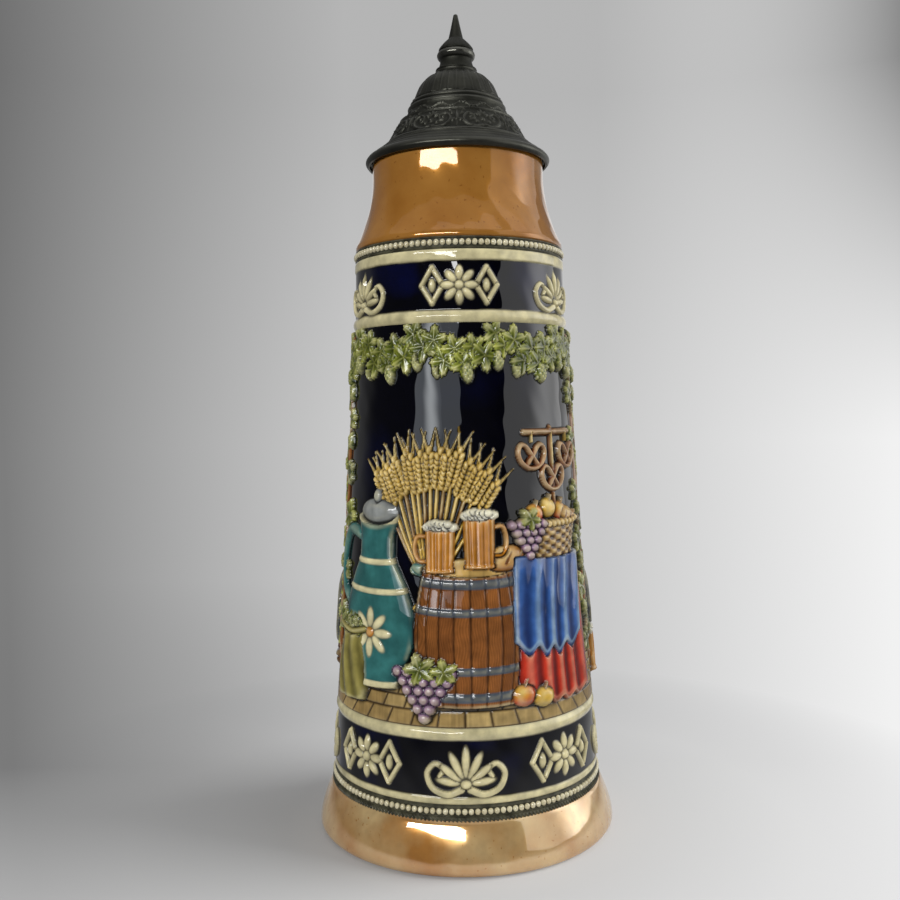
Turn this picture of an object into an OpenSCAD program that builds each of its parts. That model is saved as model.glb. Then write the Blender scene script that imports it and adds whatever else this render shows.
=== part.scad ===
// Lidded stoneware stein with a luted strap handle and a cast pewter lid on a
// five-knuckle hinge. Millimetres, +Z up. The origin is on the axis, on the
// plane that the stein stands on. The panel faces -Y and the handle +Y.

/* [Foot and wall] */
// Widest radius of the foot
foot_r = 80.6; // [77:0.1:90]
// Radius of the foot where it meets the lower bead row
foot_top_r = 73.9; // [72.5:0.1:76]
// Height of the plain foot
foot_h = 24.7; // [18:0.1:36]
// Rounding of the foot's lower edge
foot_round = 4; // [2:0.5:7]
// Width of the ring that the stein stands on
foot_ring_w = 12; // [6:0.5:20]
// Depth of the hollow under the foot
foot_hollow = 5; // [2:0.5:8]
// Thickness of the floor
floor_t = 9; // [5:0.5:14]
// Rounding between the floor and the wall inside
floor_round = 12; // [4:1:20]
// Wall radius at the bottom of the lower frieze
base_r = 71.6; // [68:0.1:73]
// Wall radius at the top of the panel
shoulder_r = 57; // [52:0.1:62]
// Wall radius at the bottom of the neck
neck_base_r = 56; // [51:0.1:60]
// Thickness of the wall
wall_t = 6; // [4:0.5:9]
// How far the wall draws in at the waist of the panel
panel_waist = 0.9; // [0:0.1:2]

/* [Bands] */
// Height of the lower bead row with its rope edge
bead_low_h = 8.8; // [6:0.1:12]
// Height of the plain fillet above the lower bead row
fillet_low_h = 3.6; // [2:0.1:8]
// Height of the lower frieze
frieze_low_h = 27.1; // [18:0.1:36]
// Height of each raised ring that borders the panel
ring_h = 6.2; // [4:0.1:9]
// How far the raised rings stand proud
ring_proud = 1.2; // [0.6:0.1:2]
// Height of the panel between the raised rings
panel_h = 198.4; // [150:0.1:240]
// Height of the upper frieze
frieze_up_h = 24.4; // [16:0.1:34]
// Height of the plain fillet under the upper bead row
fillet_up_h = 5.6; // [3:0.1:9]
// Height of the upper bead row
bead_up_h = 6.3; // [5:0.1:9]
// Height of the beads, as a half-round row
bead_d = 3.1; // [2:0.1:4]
// How far the bead rows stand proud
bead_proud = 1.2; // [0.6:0.1:2]
// Relief of the ornaments on the friezes
frieze_proud = 1.5; // [0.8:0.1:2]
// Number of ornaments round the lower frieze
frieze_low_n = 8; // [4:2:10]
// Number of ornaments round the upper frieze
frieze_up_n = 6; // [4:2:8]

/* [Panel relief] */
// Relief of the fullest forms: cask, table, sack and kegs
relief = 3.5; // [3.2:0.1:3.9]
// Relief of the jugs, the mugs and the basket
mid_relief = 2.9; // [2.6:0.1:3]
// Fall of the relief from the middle of a form to its edge
dome_fall = 1.2; // [1.1:0.1:1.3]
// Width of the lower edge round a form
dome_edge = 4; // [2:0.5:5]
// Relief of the sheaf and the poles
low_relief = 1.4; // [0.9:0.1:1.7]
// Relief of the paving
paving_proud = 0.7; // [0.4:0.1:0.8]
// Height of the paving
paving_h = 33; // [20:1:45]
// Height of the cask
cask_h = 66; // [50:1:80]
// Width of the cask
cask_w = 54; // [40:1:58]
// Height of the large jug
jug_h = 96; // [70:1:110]
// Height of each small jug
small_jug_h = 66; // [45:1:75]
// Height of the table
table_h = 74; // [55:1:90]
// Width of the table
table_w = 51; // [36:1:56]
// Height of the cloth over the table
cloth_h = 49; // [30:1:54]
// Width of the cloth over the table
cloth_w = 42; // [28:1:44]
// Relief of the cloth over the table
cloth_proud = 4.2; // [4:0.1:4.5]
// Height of the basket with its fruit
basket_h = 28; // [18:1:40]
// Width of the basket
basket_w = 40; // [28:1:46]
// Height of the sack
sack_h = 38; // [26:1:50]
// Width of the sack
sack_w = 27; // [18:1:32]
// Size of the bunch of grapes, each way
grapes_w = 19; // [12:1:24]
// Relief of the bunch of grapes
grapes_proud = 4.4; // [4:0.1:5]
// Height of the mugs
mug_h = 24; // [16:1:32]
// Width of the mugs
mug_w = 16; // [10:1:18]
// Height of the sheaf
sheaf_h = 62; // [40:1:72]
// Width of the sheaf across its ears
sheaf_w = 68; // [50:1:76]
// Width of the sheaf at its tie
sheaf_tie_w = 13; // [8:1:20]
// Radius of the kegs, seen from the end
keg_r = 23; // [15:0.5:26]
// Height of the poles
pole_h = 146; // [100:1:160]
// Width of the poles
pole_w = 4.4; // [3:0.1:7]
// Radius of the leaves on the poles
pole_leaf_r = 5.4; // [4:0.1:7]
// Space between neighbouring leaves up a pole
pole_leaf_gap = 13; // [12:0.5:24]
// Relief of the festoons
festoon_proud = 1.8; // [1:0.1:2.4]
// Depth of the row of festoons
festoon_h = 22; // [14:0.5:30]
// Number of festoons
festoon_n = 9; // [6:1:12]
// Radius of the arch between two festoons
festoon_arch_r = 20; // [12:0.5:22]
// Plain space between the festoons and the upper raised ring
festoon_gap = 2.5; // [1:0.1:6]

/* [Neck and lip] */
// Height of the neck, from the upper bead row to the top of the lip
neck_h = 50.3; // [40:0.1:70]
// Height of the round shoulder at the bottom of the neck
neck_step_h = 2.3; // [1:0.1:4]
// Height of the straight part under the lip
lip_straight_h = 7; // [5:0.1:10]
// Outer radius of the lip
lip_r = 46.2; // [42:0.1:47]
// Thickness of the round lip
lip_t = 5.2; // [4:0.1:7]

/* [Handle] */
// Width of the handle, side to side
handle_w = 24; // [20:0.5:32]
// Thickness of the handle
handle_t = 14; // [11:0.5:18]
// Rounding of the handle's edges
handle_round = 5; // [3:0.5:5.5]
// Clear space for the fingers between the grip and the shoulder
finger_gap = 36; // [30:1:50]
// Height of the handle's crest, at its centre line, above the bottom of the neck
handle_up = 19; // [14:0.5:24]
// Angle at which the upper arm runs into the upper bend
arm_rise = 20; // [10:1:30]
// Centre line radius of the upper arm
arm_r = 120; // [80:5:200]
// Centre line radius of the upper bend
top_bend_r = 24; // [18:1:30]
// Centre line radius of the bowed grip
grip_r = 300; // [240:5:360]
// Turn of the grip above its outermost point
grip_up_a = 9; // [6:0.5:12]
// Turn of the grip below its outermost point
grip_low_a = 19; // [15:0.5:21]
// Centre line radius of the lower bend
low_bend_r = 30; // [24:1:38]

/* [Lid] */
// Radius of the lid's rolled rim
lid_r = 49.9; // [49.6:0.1:53]
// Height of the rolled rim
rim_d = 4.2; // [3:0.1:5]
// How far the rolled rim stands proud of the flange
rim_proud = 1.2; // [0.8:0.1:1.8]
// Wall thickness of the lid
lid_t = 2.2; // [1.6:0.1:3]
// Radius of the top of the sloping flange
flange_top_r = 38.9; // [36:0.1:41]
// Rise of the sloping flange
flange_h = 6.6; // [5:0.1:9]
// Height of the small step above the flange
step_h = 1.4; // [0.8:0.1:2.5]
// Width of the small step above the flange
step_w = 0.9; // [0.4:0.1:1.6]
// Height of the wide scroll band
scroll_h = 11.9; // [8:0.1:16]
// Radius of the top of the scroll band
scroll_top_r = 31.2; // [30:0.1:34]
// Swell of the scroll band
scroll_swell = 0.5; // [0:0.1:1.5]
// Radius of the bottom of the leaf band
leaf_r = 28.9; // [27.5:0.1:29.6]
// Height of the leaf band
leaf_h = 5.7; // [4:0.1:8]
// Radius of the top of the leaf band
leaf_top_r = 26.4; // [25:0.1:27.4]
// Height of the double moulding above the leaf band
mould_h = 5.3; // [4:0.1:8]
// How far the double moulding stands proud
mould_proud = 0.9; // [0.4:0.1:1.4]
// Radius of the bottom of the crown
crown_r = 23.6; // [20:0.1:24.4]
// Height of the crown
crown_h = 16.4; // [11:0.1:20]
// Radius of the flat that the finial stands on
crown_top_r = 11; // [10.5:0.1:13]

/* [Finial] */
// Height of the hollowed collar under the ring
collar_h = 6.2; // [4:0.1:9]
// Least radius of the collar
collar_r = 8.6; // [7:0.1:9.5]
// Height of the ring
knop_h = 4.2; // [2.5:0.1:5]
// How far the ring stands proud of the collar
knop_proud = 1.8; // [1:0.1:2.5]
// Height of the small dome above the ring
cap_h = 7.4; // [5:0.1:10]
// Height of the spire
spire_h = 13.3; // [8:0.1:20]
// Radius of the spire's foot
spire_r = 3.8; // [3:0.1:5]
// Radius of the spire's rounded tip
tip_r = 1.3; // [0.8:0.1:2]
// Radius of the tenon under the finial
tenon_r = 3.4; // [2.5:0.1:5]
// Length of the tenon that shows inside the lid
tenon_out = 1.2; // [0.5:0.1:3]

/* [Hinge] */
// Radius of the hinge barrel
barrel_r = 4.5; // [4:0.1:6]
// Width of each of the five knuckles
knuckle_w = 4.4; // [3.5:0.1:6]
// Diameter of the hinge pin
pin_d = 3; // [2:0.1:4]
// Space between the lid's rim and the barrel
hinge_back = 2.2; // [1.5:0.1:5]
// Height of the hinge axis above the lid's lower edge
hinge_up = 2.5; // [0:0.1:6]
// Thickness of the tang
tang_t = 5; // [4:0.1:7]
// Thickness of the shank's strap
shank_t = 4; // [3:0.1:5]
// Drop of the shank before it bends back to the handle
shank_drop = 10; // [8:0.5:14]
// How far the shank's knee lies behind the hinge axis
shank_back = 4; // [3:0.1:5]
// Thickness of the collar round the handle
band_t = 1.8; // [1:0.1:3]
// Part of the upper bend that the collar covers, as an angle
band_a = 36; // [24:1:40]
// Thickness of the shank's saddle on the collar
saddle_t = 2.4; // [1.5:0.1:4]
// Thickness of the discs at the ends of the barrel
cap_t = 1.8; // [1:0.1:3]
// Thickness of the tang's pad above the hinge barrel
pad_t = 1; // [0.6:0.1:2]
// Margin of the pad round the thumblift's foot, front and back
pad_edge = 1; // [0.6:0.1:1.4]

/* [Thumblift] */
// Width of the thumblift's foot
thumb_w = 11; // [8:0.5:13]
// Depth of the thumblift's foot, front to back
thumb_d = 6; // [5:0.5:8]
// Height of the thumblift's foot
thumb_foot_h = 3; // [2:0.5:5]
// Height of the stem up to the hub of the shell
thumb_stem_h = 14; // [10:0.5:18]
// Length of the shell's ribs
rib_len = 18; // [13:0.5:22]
// Thickness of each rib
rib_d = 4; // [3:0.1:4.6]
// Number of ribs
rib_n = 7; // [5:2:9]
// Angle between neighbouring ribs
rib_a = 13; // [10:0.5:15]
// Thickness of the shell behind the ribs
shell_t = 2.6; // [1.6:0.1:3.4]
// Angle that the thumblift leans back
thumb_lean = 10; // [0:1:13]

/* [Fits] */
// Gap between the lip and the closed lid
seat_gap = 0.3; // [0.2:0.05:0.6]
// Radial clearance of the pin in the lid's knuckles
pin_gap = 0.05; // [0.02:0.01:0.1]
// Gap at each side of a knuckle
side_gap = 0.15; // [0.1:0.05:0.3]
// Clear space round the shank's knuckle in the tang
round_gap = 0.5; // [0.3:0.1:1]
// Radial clearance of the tenon in the crown
tenon_gap = 0.05; // [0.02:0.01:0.1]

/* [Hidden] */
$fn = 96;
STONEWARE = "#b98a4e";
PEWTER = "#4a4a45";
STEEL = "#8c8f92";
curve_n = 10;      // steps in a curved stretch of an outline
half_round_n = 8;  // steps in a half-round moulding
edge_n = 6;        // steps in a rounded edge of the handle
over = 1;          // how far a cutter runs past the face it cuts
foot_flare = 1.5;  // power of the foot's flare, where 1 is a straight cone
cove_flare = 2;    // power of the hollow curves of the neck and the finial's collar
bell_tail = 4;     // power that rounds off the top of the crown
collar_from_arm = 25;  // angle from the end of the upper arm to the middle of the collar
strap_share = 1 / 6;   // place of the shank's strap on the collar, as a share of the collar's angle

// Ornaments of the friezes, as shares of the frieze's height, about the frieze's middle
fan_foot = -0.28;          // height of the palmette's centre
fan_r = 0.5;               // radius of the palmette's fan
scroll_at = [0.6, -0.12];  // place of the scroll beside the palmette
scroll_share = 0.17;       // radius of the scroll
stem = [1.1, 0.13];        // width and height of the stem that joins the scrolls
rose_r = 0.38;             // radius of the rosette
lozenge_out = 0.64;        // distance of the lozenges from the rosette's centre
lozenge_line = [[0, -0.38], [0.22, 0], [0, 0.38]];  // right side of a lozenge

// Places of the panel's forms: degrees round from the front, height above the foot of the panel
cask_at = [3, 11];
jug_at = [-43, 17];
table_at = [44, 9];
cloth_at = [42, 33];
grapes_at = [-16, 9];
basket_at = [44, 81];
sack_at = [-57, 9];
sheaf_at = [-14, 76];
mugs_at = [[8, 76], [-10, 75]];
kegs_at = [[-105, 23], [105, 23]];
small_jugs_at = [[-154, 14], [154, 14]];
poles_at = [[-78, 22], [78, 22], [-136, 22], [136, 22]];

// Outlines of the panel's forms, as shares of height or width: half width, then height
jug_line = [[0.16, 0], [0.24, 0.2], [0.245, 0.38], [0.12, 0.66], [0.12, 0.78], [0.145, 0.88], [0.05, 1]];
sheaf_line = [[0.5, 0.72], [0.4, 0.9], [0.2, 0.98]];
basket_line = [[0.4, 0], [0.5, 0.6], [0.36, 0.86], [0.12, 1]];
sack_line = [[0.46, 0], [0.5, 0.4], [0.2, 0.8], [0.32, 1]];
table_line = [[0.5, 0], [0.41, 1]];
mug_line = [[0.5, 0], [0.5, 1]];
grapes_line = [[0.1, 0], [0.5, 0.7], [0.4, 1]];
cask_end = 0.84;  // width of the cask's ends, as a share of its middle
cask_n = 4;       // steps up the cask's bowed side
waist_n = 2;      // steps up the panel in the face of a raised form
paving_tuck = ring_h / 4;     // how far the paving runs into the lower raised ring
arch_drop = festoon_h / 2;    // how far the arches' centres lie below the row of festoons

// Heights of the bands, from the foot up
z_bead_low = foot_h;
z_fillet_low = z_bead_low + bead_low_h;
z_frieze_low = z_fillet_low + fillet_low_h;
z_ring_low = z_frieze_low + frieze_low_h;
z_panel = z_ring_low + ring_h;
z_ring_up = z_panel + panel_h;
z_frieze_up = z_ring_up + ring_h;
z_fillet_up = z_frieze_up + frieze_up_h;
z_bead_up = z_fillet_up + fillet_up_h;
z_neck = z_bead_up + bead_up_h;
z_lip = z_neck + neck_h;
z_floor = foot_hollow + floor_t;

// Lip and neck
lip_round = lip_t / 2;
lip_c = lip_r - lip_round;
z_lip_c = z_lip - lip_round;
z_cove = z_neck + neck_step_h;
z_cove_top = z_lip_c - lip_straight_h;

// Lid: heights above its lower edge, and that edge's height when closed
flange_r = lid_r - rim_proud;
h_flange = rim_d;
h_step = h_flange + flange_h;
h_scroll = h_step + step_h;
h_leaf = h_scroll + scroll_h;
h_mould = h_leaf + leaf_h;
h_crown = h_mould + mould_h;
h_seat = h_crown + crown_h;
flange_a = atan2(flange_h, flange_r - flange_top_r);
flange_in_drop = lid_t / cos(flange_a);
lip_under = (lip_round + seat_gap) / cos(flange_a);
z_lid = z_lip_c + lip_under + flange_in_drop - h_flange - (flange_r - lip_c) * tan(flange_a);
z_seat = z_lid + h_seat;

// Hinge
hinge_y = lid_r + hinge_back + barrel_r;
hinge_z = z_lid + hinge_up;
barrel_w = 5 * knuckle_w;
tang_w = 3 * knuckle_w;
knuckle_clear = barrel_r + round_gap;
pad_z = hinge_z + knuckle_clear + pad_t;
thumb_back = hinge_y - pad_edge;

// Handle centre line in the plane x = 0, as [y, z]
grip_y = shoulder_r + finger_gap + handle_t / 2;
top_c = [grip_y - grip_r + (grip_r - top_bend_r) * cos(grip_up_a), z_neck + handle_up - top_bend_r];
arm_a = 90 + arm_rise;
arm_c = top_c + (top_bend_r - arm_r) * [cos(arm_a), sin(arm_a)];
arm_end_a = acos((lip_c - lip_t - arm_c[0]) / arm_r);
grip_c = [grip_y - grip_r, top_c[1] - (grip_r - top_bend_r) * sin(grip_up_a)];
low_c = grip_c + (grip_r - low_bend_r) * [cos(grip_low_a), -sin(grip_low_a)];
low_end_a = acos(max(-1, (wall_r(low_c[1]) - wall_t - handle_t - low_c[0]) / low_bend_r));
band_mid_a = arm_a - collar_from_arm;
strap_a = band_mid_a + band_a * strap_share;
band_r = top_bend_r + handle_t / 2 + band_t;
flat_w = handle_w - 2 * handle_round;

// Drawing-in of the wall between the raised rings of the panel
function waist(z) = z <= z_panel ? 0 : panel_waist * sin(180 * (z - z_panel) / panel_h);

// Wall radius at a height between the lower frieze and the neck
function wall_r(z) = z <= z_ring_up
    ? base_r + (shoulder_r - base_r) * (z - z_frieze_low) / (z_ring_up - z_frieze_low) - waist(z)
    : shoulder_r + (neck_base_r - shoulder_r) * (z - z_ring_up) / (z_neck - z_ring_up);

// Fall of the crown's bell-shaped side, from 1 at its foot to 0 at its top
function bell(t) = 1 - (t + pow(t, bell_tail)) / 2;

// Points on an arc about [x, z], from angle a to angle b
function arc_pts(c, r, a, b, n = curve_n) =
    [for (i = [0:n]) let (t = a + (b - a) * i / n) c + r * [cos(t), sin(t)]];

// Half-round moulding that swells by proud, on a line from p to q
function half_round(p, q, proud) =
    [for (i = [0:half_round_n]) let (t = i / half_round_n) p + (q - p) * t + [proud * sin(180 * t), 0]];

// Raised ring and bead row, on the wall
function wall_ring(z, h) = half_round([wall_r(z), z], [wall_r(z + h), z + h], ring_proud);
function bead_row(z) = half_round([wall_r(z), z], [wall_r(z + bead_d), z + bead_d], bead_proud);

// Outline of the outside of the vessel, from the foot ring up to the lip
foot_curve = [for (i = [0:curve_n]) let (t = i / curve_n)
    [foot_r - (foot_r - foot_top_r) * pow(t, foot_flare), foot_round + (foot_h - foot_round) * t]];
panel_curve = [for (i = [1:curve_n - 1]) let (z = z_panel + panel_h * i / curve_n) [wall_r(z), z]];
neck_curve = [for (i = [0:curve_n]) let (t = i / curve_n)
    [lip_r + (neck_base_r - lip_r) * pow(1 - t, cove_flare), z_cove + (z_cove_top - z_cove) * t]];
outside = concat(
    arc_pts([foot_r - foot_round, foot_round], foot_round, -90, 0),
    foot_curve,
    bead_row(z_bead_low + (bead_low_h - bead_d) / 2),
    [[wall_r(z_fillet_low), z_fillet_low], [wall_r(z_frieze_low), z_frieze_low]],
    wall_ring(z_ring_low, ring_h),
    panel_curve,
    wall_ring(z_ring_up, ring_h),
    [[wall_r(z_fillet_up), z_fillet_up]],
    bead_row(z_bead_up + (bead_up_h - bead_d) / 2),
    [[neck_base_r, z_neck]],
    neck_curve,
    arc_pts([lip_c, z_lip_c], lip_round, 0, 90));

// Outline of the inside, from the lip down to the middle of the floor
in_low_r = wall_r(z_floor + floor_round) - wall_t;
inside = concat(
    arc_pts([lip_c, z_lip_c], lip_round, 90, 180),
    [for (i = [curve_n:-1:0]) neck_curve[i] - [lip_t, 0]],
    [[wall_r(z_bead_up) - wall_t, z_bead_up], [wall_r(z_ring_up) - wall_t, z_ring_up]],
    [for (i = [curve_n - 2:-1:0]) panel_curve[i] - [wall_t, 0]],
    arc_pts([in_low_r - floor_round, z_floor + floor_round], floor_round, 0, -90),
    [[0, z_floor]]);

// Outline of the outside of the lid, above its lower edge
scroll_r = flange_top_r - step_w;
mould_mid = [(leaf_top_r + crown_r) / 2, h_mould + mould_h / 2];
crown_curve = [for (i = [0:curve_n]) let (t = i / curve_n)
    [crown_top_r + (crown_r - crown_top_r) * bell(t), h_crown + crown_h * t]];
lid_outside = concat(
    half_round([flange_r, 0], [flange_r, rim_d], rim_proud),
    [[flange_top_r, h_step], [scroll_r, h_scroll]],
    half_round([scroll_r, h_scroll], [scroll_top_r, h_leaf], scroll_swell),
    [[leaf_r, h_leaf], [leaf_top_r, h_mould]],
    half_round([leaf_top_r, h_mould], mould_mid, mould_proud),
    half_round(mould_mid, [crown_r, h_crown], mould_proud),
    crown_curve);

// Outline of the hollow under the lid, from its rim up to the tenon hole
hole_r = tenon_r + tenon_gap;
rim_in_r = lid_r - lid_t;
crown_in = [for (i = [0:curve_n]) let (t = i / curve_n)
    [hole_r + (crown_r - lid_t - hole_r) * bell(t), h_crown + (crown_h - lid_t) * t]];
lid_hollow = concat(
    [[0, -over], [rim_in_r, -over],
     [rim_in_r, h_flange + (flange_r - rim_in_r) * tan(flange_a) - flange_in_drop],
     [flange_top_r - lid_t, h_step + lid_t * tan(flange_a) - flange_in_drop],
     [scroll_r - lid_t, h_scroll], [scroll_top_r - lid_t, h_leaf - lid_t],
     [leaf_r - lid_t, h_leaf], [leaf_top_r - lid_t, h_mould]],
    crown_in,
    [[hole_r, h_seat + over], [0, h_seat + over]]);

// Side view: x of the drawing runs along +Y, y along +Z, and thickness along X
module side() {
    rotate([90, 0, 90]) children();
}

module plate(w) {
    side() linear_extrude(w, center = true) children();
}

// Flat bar with round ends between two points of a drawing
module strap(p, q, t) {
    d = q - p;
    a = atan2(d[1], d[0]);
    polygon(concat(arc_pts(p, t / 2, a + 90, a + 270), arc_pts(q, t / 2, a - 90, a + 90)));
}

// Section of the handle: x points away from the bend's centre, y across the handle
module handle_section(grow = 0) {
    dx = handle_t / 2 - handle_round;
    dy = handle_w / 2 - handle_round;
    corners = [[dx, dy], [-dx, dy], [-dx, -dy], [dx, -dy]];
    polygon([for (i = [0:3]) each arc_pts(corners[i], handle_round + grow, 90 * i, 90 * (i + 1), edge_n)]);
}

// Section swept round a bend of the handle, between two angles of the side view
module bend(c, r, a, b) {
    side() translate(c) rotate(a) rotate_extrude(angle = b - a) translate([r, 0]) children();
}

// Cylinder along the hinge axis, between two places across the barrel
module across(r, x0, x1) {
    translate([x0, hinge_y, hinge_z]) rotate([0, 90, 0]) cylinder(r = r, h = x1 - x0);
}

// One of the five knuckles, counted from -X
module knuckle(i) {
    x0 = -barrel_w / 2 + i * knuckle_w;
    across(barrel_r, x0 + side_gap * (i == 0 ? 0 : 1), x0 + knuckle_w - side_gap * (i == 4 ? 0 : 1));
}

module vessel_solid() {
    rotate_extrude() polygon(concat([[0, 0]], outside, [[0, z_lip]]));
}

module lid_solid() {
    translate([0, 0, z_lid]) rotate_extrude() polygon(concat([[0, 0]], lid_outside, [[0, h_seat]]));
}

// Ring on the wall between two heights, from the middle of the wall's thickness to proud of its face
module wall_band(z0, z1, proud, steps = 1) {
    heights = [for (i = [0:steps]) z0 + (z1 - z0) * i / steps];
    rotate_extrude() polygon(concat(
        [for (z = heights) [wall_r(z) + proud, z]],
        [for (i = [steps:-1:0]) [wall_r(heights[i]) - wall_t / 2, heights[i]]]));
}

// Form that stands proud of the wall within a span of heights: x of the drawing runs round the wall, y up
module on_wall(a, z, span, proud, steps = 1) {
    intersection() {
        wall_band(span[0], span[1], proud, steps);
        rotate([0, 0, a]) translate([0, 0, z]) rotate([90, 0, 0]) linear_extrude(foot_r) children();
    }
}

module raised(at, proud) {
    on_wall(at[0], z_panel + at[1], [z_panel, z_ring_up], proud, waist_n) children();
}

// Outline that is alike on both sides, from the points of its right side
module both_sides(line, w, h) {
    polygon(concat(
        [for (p = line) [w * p[0], h * p[1]]],
        [for (i = [len(line) - 1:-1:0]) [-w * line[i][0], h * line[i][1]]]));
}

// Form of the panel with a lower edge all round
module domed(at, line, w, h, proud) {
    raised(at, proud - dome_fall) both_sides(line, w, h);
    raised(at + [0, dome_edge], proud) both_sides(line, w - 2 * dome_edge, h - 2 * dome_edge);
}

module keg(at) {
    raised(at, relief - dome_fall) translate([0, keg_r]) circle(keg_r);
    raised(at, relief) translate([0, keg_r]) circle(keg_r - dome_edge);
}

module pole(at) {
    leaf_n = floor((pole_h - 2 * pole_leaf_r) / pole_leaf_gap);
    raised(at, low_relief) {
        translate([-pole_w / 2, 0]) square([pole_w, pole_h]);
        for (i = [1:leaf_n])
            translate([pole_leaf_r * (i % 2 == 0 ? 1 : -1), i * pole_leaf_gap]) circle(pole_leaf_r);
    }
}

// Row of festoons that hang between arches
module festoons() {
    z_top = z_ring_up - festoon_gap;
    z_low = z_top - festoon_h;
    difference() {
        wall_band(z_low, z_top, festoon_proud);
        for (i = [0:festoon_n - 1]) rotate([0, 0, 180 + i * 360 / festoon_n])
            translate([0, 0, z_low - arch_drop]) rotate([90, 0, 0]) cylinder(r = festoon_arch_r, h = foot_r);
    }
}

// Palmette between two scrolls, in a frieze of height h
module palmette(h) {
    translate([0, fan_foot * h]) {
        intersection() {
            circle(fan_r * h);
            translate([-h, 0]) square([2 * h, h]);
        }
        translate([-stem[0] / 2 * h, -stem[1] * h]) square([stem[0] * h, stem[1] * h]);
    }
    for (s = [-1, 1]) translate([s * scroll_at[0] * h, scroll_at[1] * h]) circle(scroll_share * h);
}

// Rosette between two lozenges, in a frieze of height h
module rosette(h) {
    circle(rose_r * h);
    for (s = [-1, 1]) translate([s * lozenge_out * h, 0])
        polygon([for (p = [lozenge_line[0], lozenge_line[1], lozenge_line[2], -lozenge_line[1]]) p * h]);
}

// Palmettes and rosettes by turns round a frieze, from the back
module frieze_relief(z, h, n) {
    for (i = [0:n - 1]) on_wall(180 + i * 360 / n, z + h / 2, [z, z + h], frieze_proud) {
        if (i % 2 == 0) palmette(h);
        else rosette(h);
    }
}

module panel_relief() {
    sheaf_foot = [sheaf_tie_w / sheaf_w / 2, 0];
    cask_line = [for (i = [0:cask_n]) let (t = i / cask_n)
        [(cask_end + (1 - cask_end) * sin(180 * t)) / 2, t]];
    wall_band(z_panel - paving_tuck, z_panel + paving_h, paving_proud);
    festoons();
    for (at = poles_at) pole(at);
    raised(sheaf_at, low_relief) both_sides(concat([sheaf_foot], sheaf_line), sheaf_w, sheaf_h);
    domed(cask_at, cask_line, cask_w, cask_h, relief);
    domed(jug_at, jug_line, jug_h, jug_h, mid_relief);
    for (at = small_jugs_at) domed(at, jug_line, small_jug_h, small_jug_h, mid_relief);
    for (at = mugs_at) raised(at, mid_relief) both_sides(mug_line, mug_w, mug_h);
    raised(table_at, relief) both_sides(table_line, table_w, table_h);
    raised(cloth_at, cloth_proud) both_sides(table_line, cloth_w, cloth_h);
    domed(basket_at, basket_line, basket_w, basket_h, mid_relief);
    domed(sack_at, sack_line, sack_w, sack_h, relief);
    raised(grapes_at, grapes_proud) both_sides(grapes_line, grapes_w, grapes_w);
    for (at = kegs_at) keg(at);
}

module vessel() {
    ring_in = foot_r - foot_round - foot_ring_w;
    color(STONEWARE) {
        rotate_extrude()
            polygon(concat([[0, foot_hollow], [ring_in, foot_hollow], [ring_in, 0]], outside, inside));
        panel_relief();
        frieze_relief(z_frieze_low, frieze_low_h, frieze_low_n);
        frieze_relief(z_frieze_up, frieze_up_h, frieze_up_n);
    }
}

module handle() {
    color(STONEWARE) difference() {
        union() {
            bend(arm_c, arm_r, arm_a, arm_end_a) handle_section();
            bend(top_c, top_bend_r, grip_up_a, arm_a) handle_section();
            bend(grip_c, grip_r, -grip_low_a, grip_up_a) handle_section();
            bend(low_c, low_bend_r, -low_end_a, -grip_low_a) handle_section();
        }
        vessel_solid();
    }
}

module handle_band() {
    color(PEWTER) bend(top_c, top_bend_r, band_mid_a - band_a / 2, band_mid_a + band_a / 2) difference() {
        handle_section(band_t);
        handle_section();
    }
}

module hinge_shank() {
    land = top_c + (band_r + saddle_t / 2) * [cos(strap_a), sin(strap_a)];
    knee = [hinge_y + shank_back, hinge_z - shank_drop];
    color(PEWTER) difference() {
        union() {
            for (i = [0, 2, 4]) knuckle(i);
            difference() {
                plate(flat_w) {
                    strap([hinge_y, hinge_z], knee, shank_t);
                    strap(knee, land, shank_t);
                }
                for (i = [1, 3]) across(knuckle_clear, -barrel_w / 2 + i * knuckle_w - side_gap,
                                        -barrel_w / 2 + (i + 1) * knuckle_w + side_gap);
            }
            bend(top_c, 0, band_mid_a - band_a / 2, band_mid_a + band_a / 2)
                translate([band_r, -flat_w / 2]) square([saddle_t, flat_w]);
        }
        across(pin_d / 2, -barrel_w, barrel_w);
        bend(top_c, 0, band_mid_a - band_a, band_mid_a + band_a)
            translate([0, -handle_w]) square([band_r, 2 * handle_w]);
    }
}

module hinge_pin() {
    color(STEEL) across(pin_d / 2, -barrel_w / 2, barrel_w / 2);
}

module pin_caps() {
    color(PEWTER) for (s = [0, 1]) mirror([s, 0, 0])
        translate([barrel_w / 2, hinge_y, hinge_z]) rotate([0, 90, 0]) {
            cylinder(r = barrel_r, h = cap_t / 2);
            translate([0, 0, cap_t / 2]) cylinder(r1 = barrel_r, r2 = barrel_r - cap_t, h = cap_t / 2);
        }
}

module lid_dome() {
    color(PEWTER) difference() {
        lid_solid();
        translate([0, 0, z_lid]) rotate_extrude() polygon(lid_hollow);
    }
}

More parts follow.
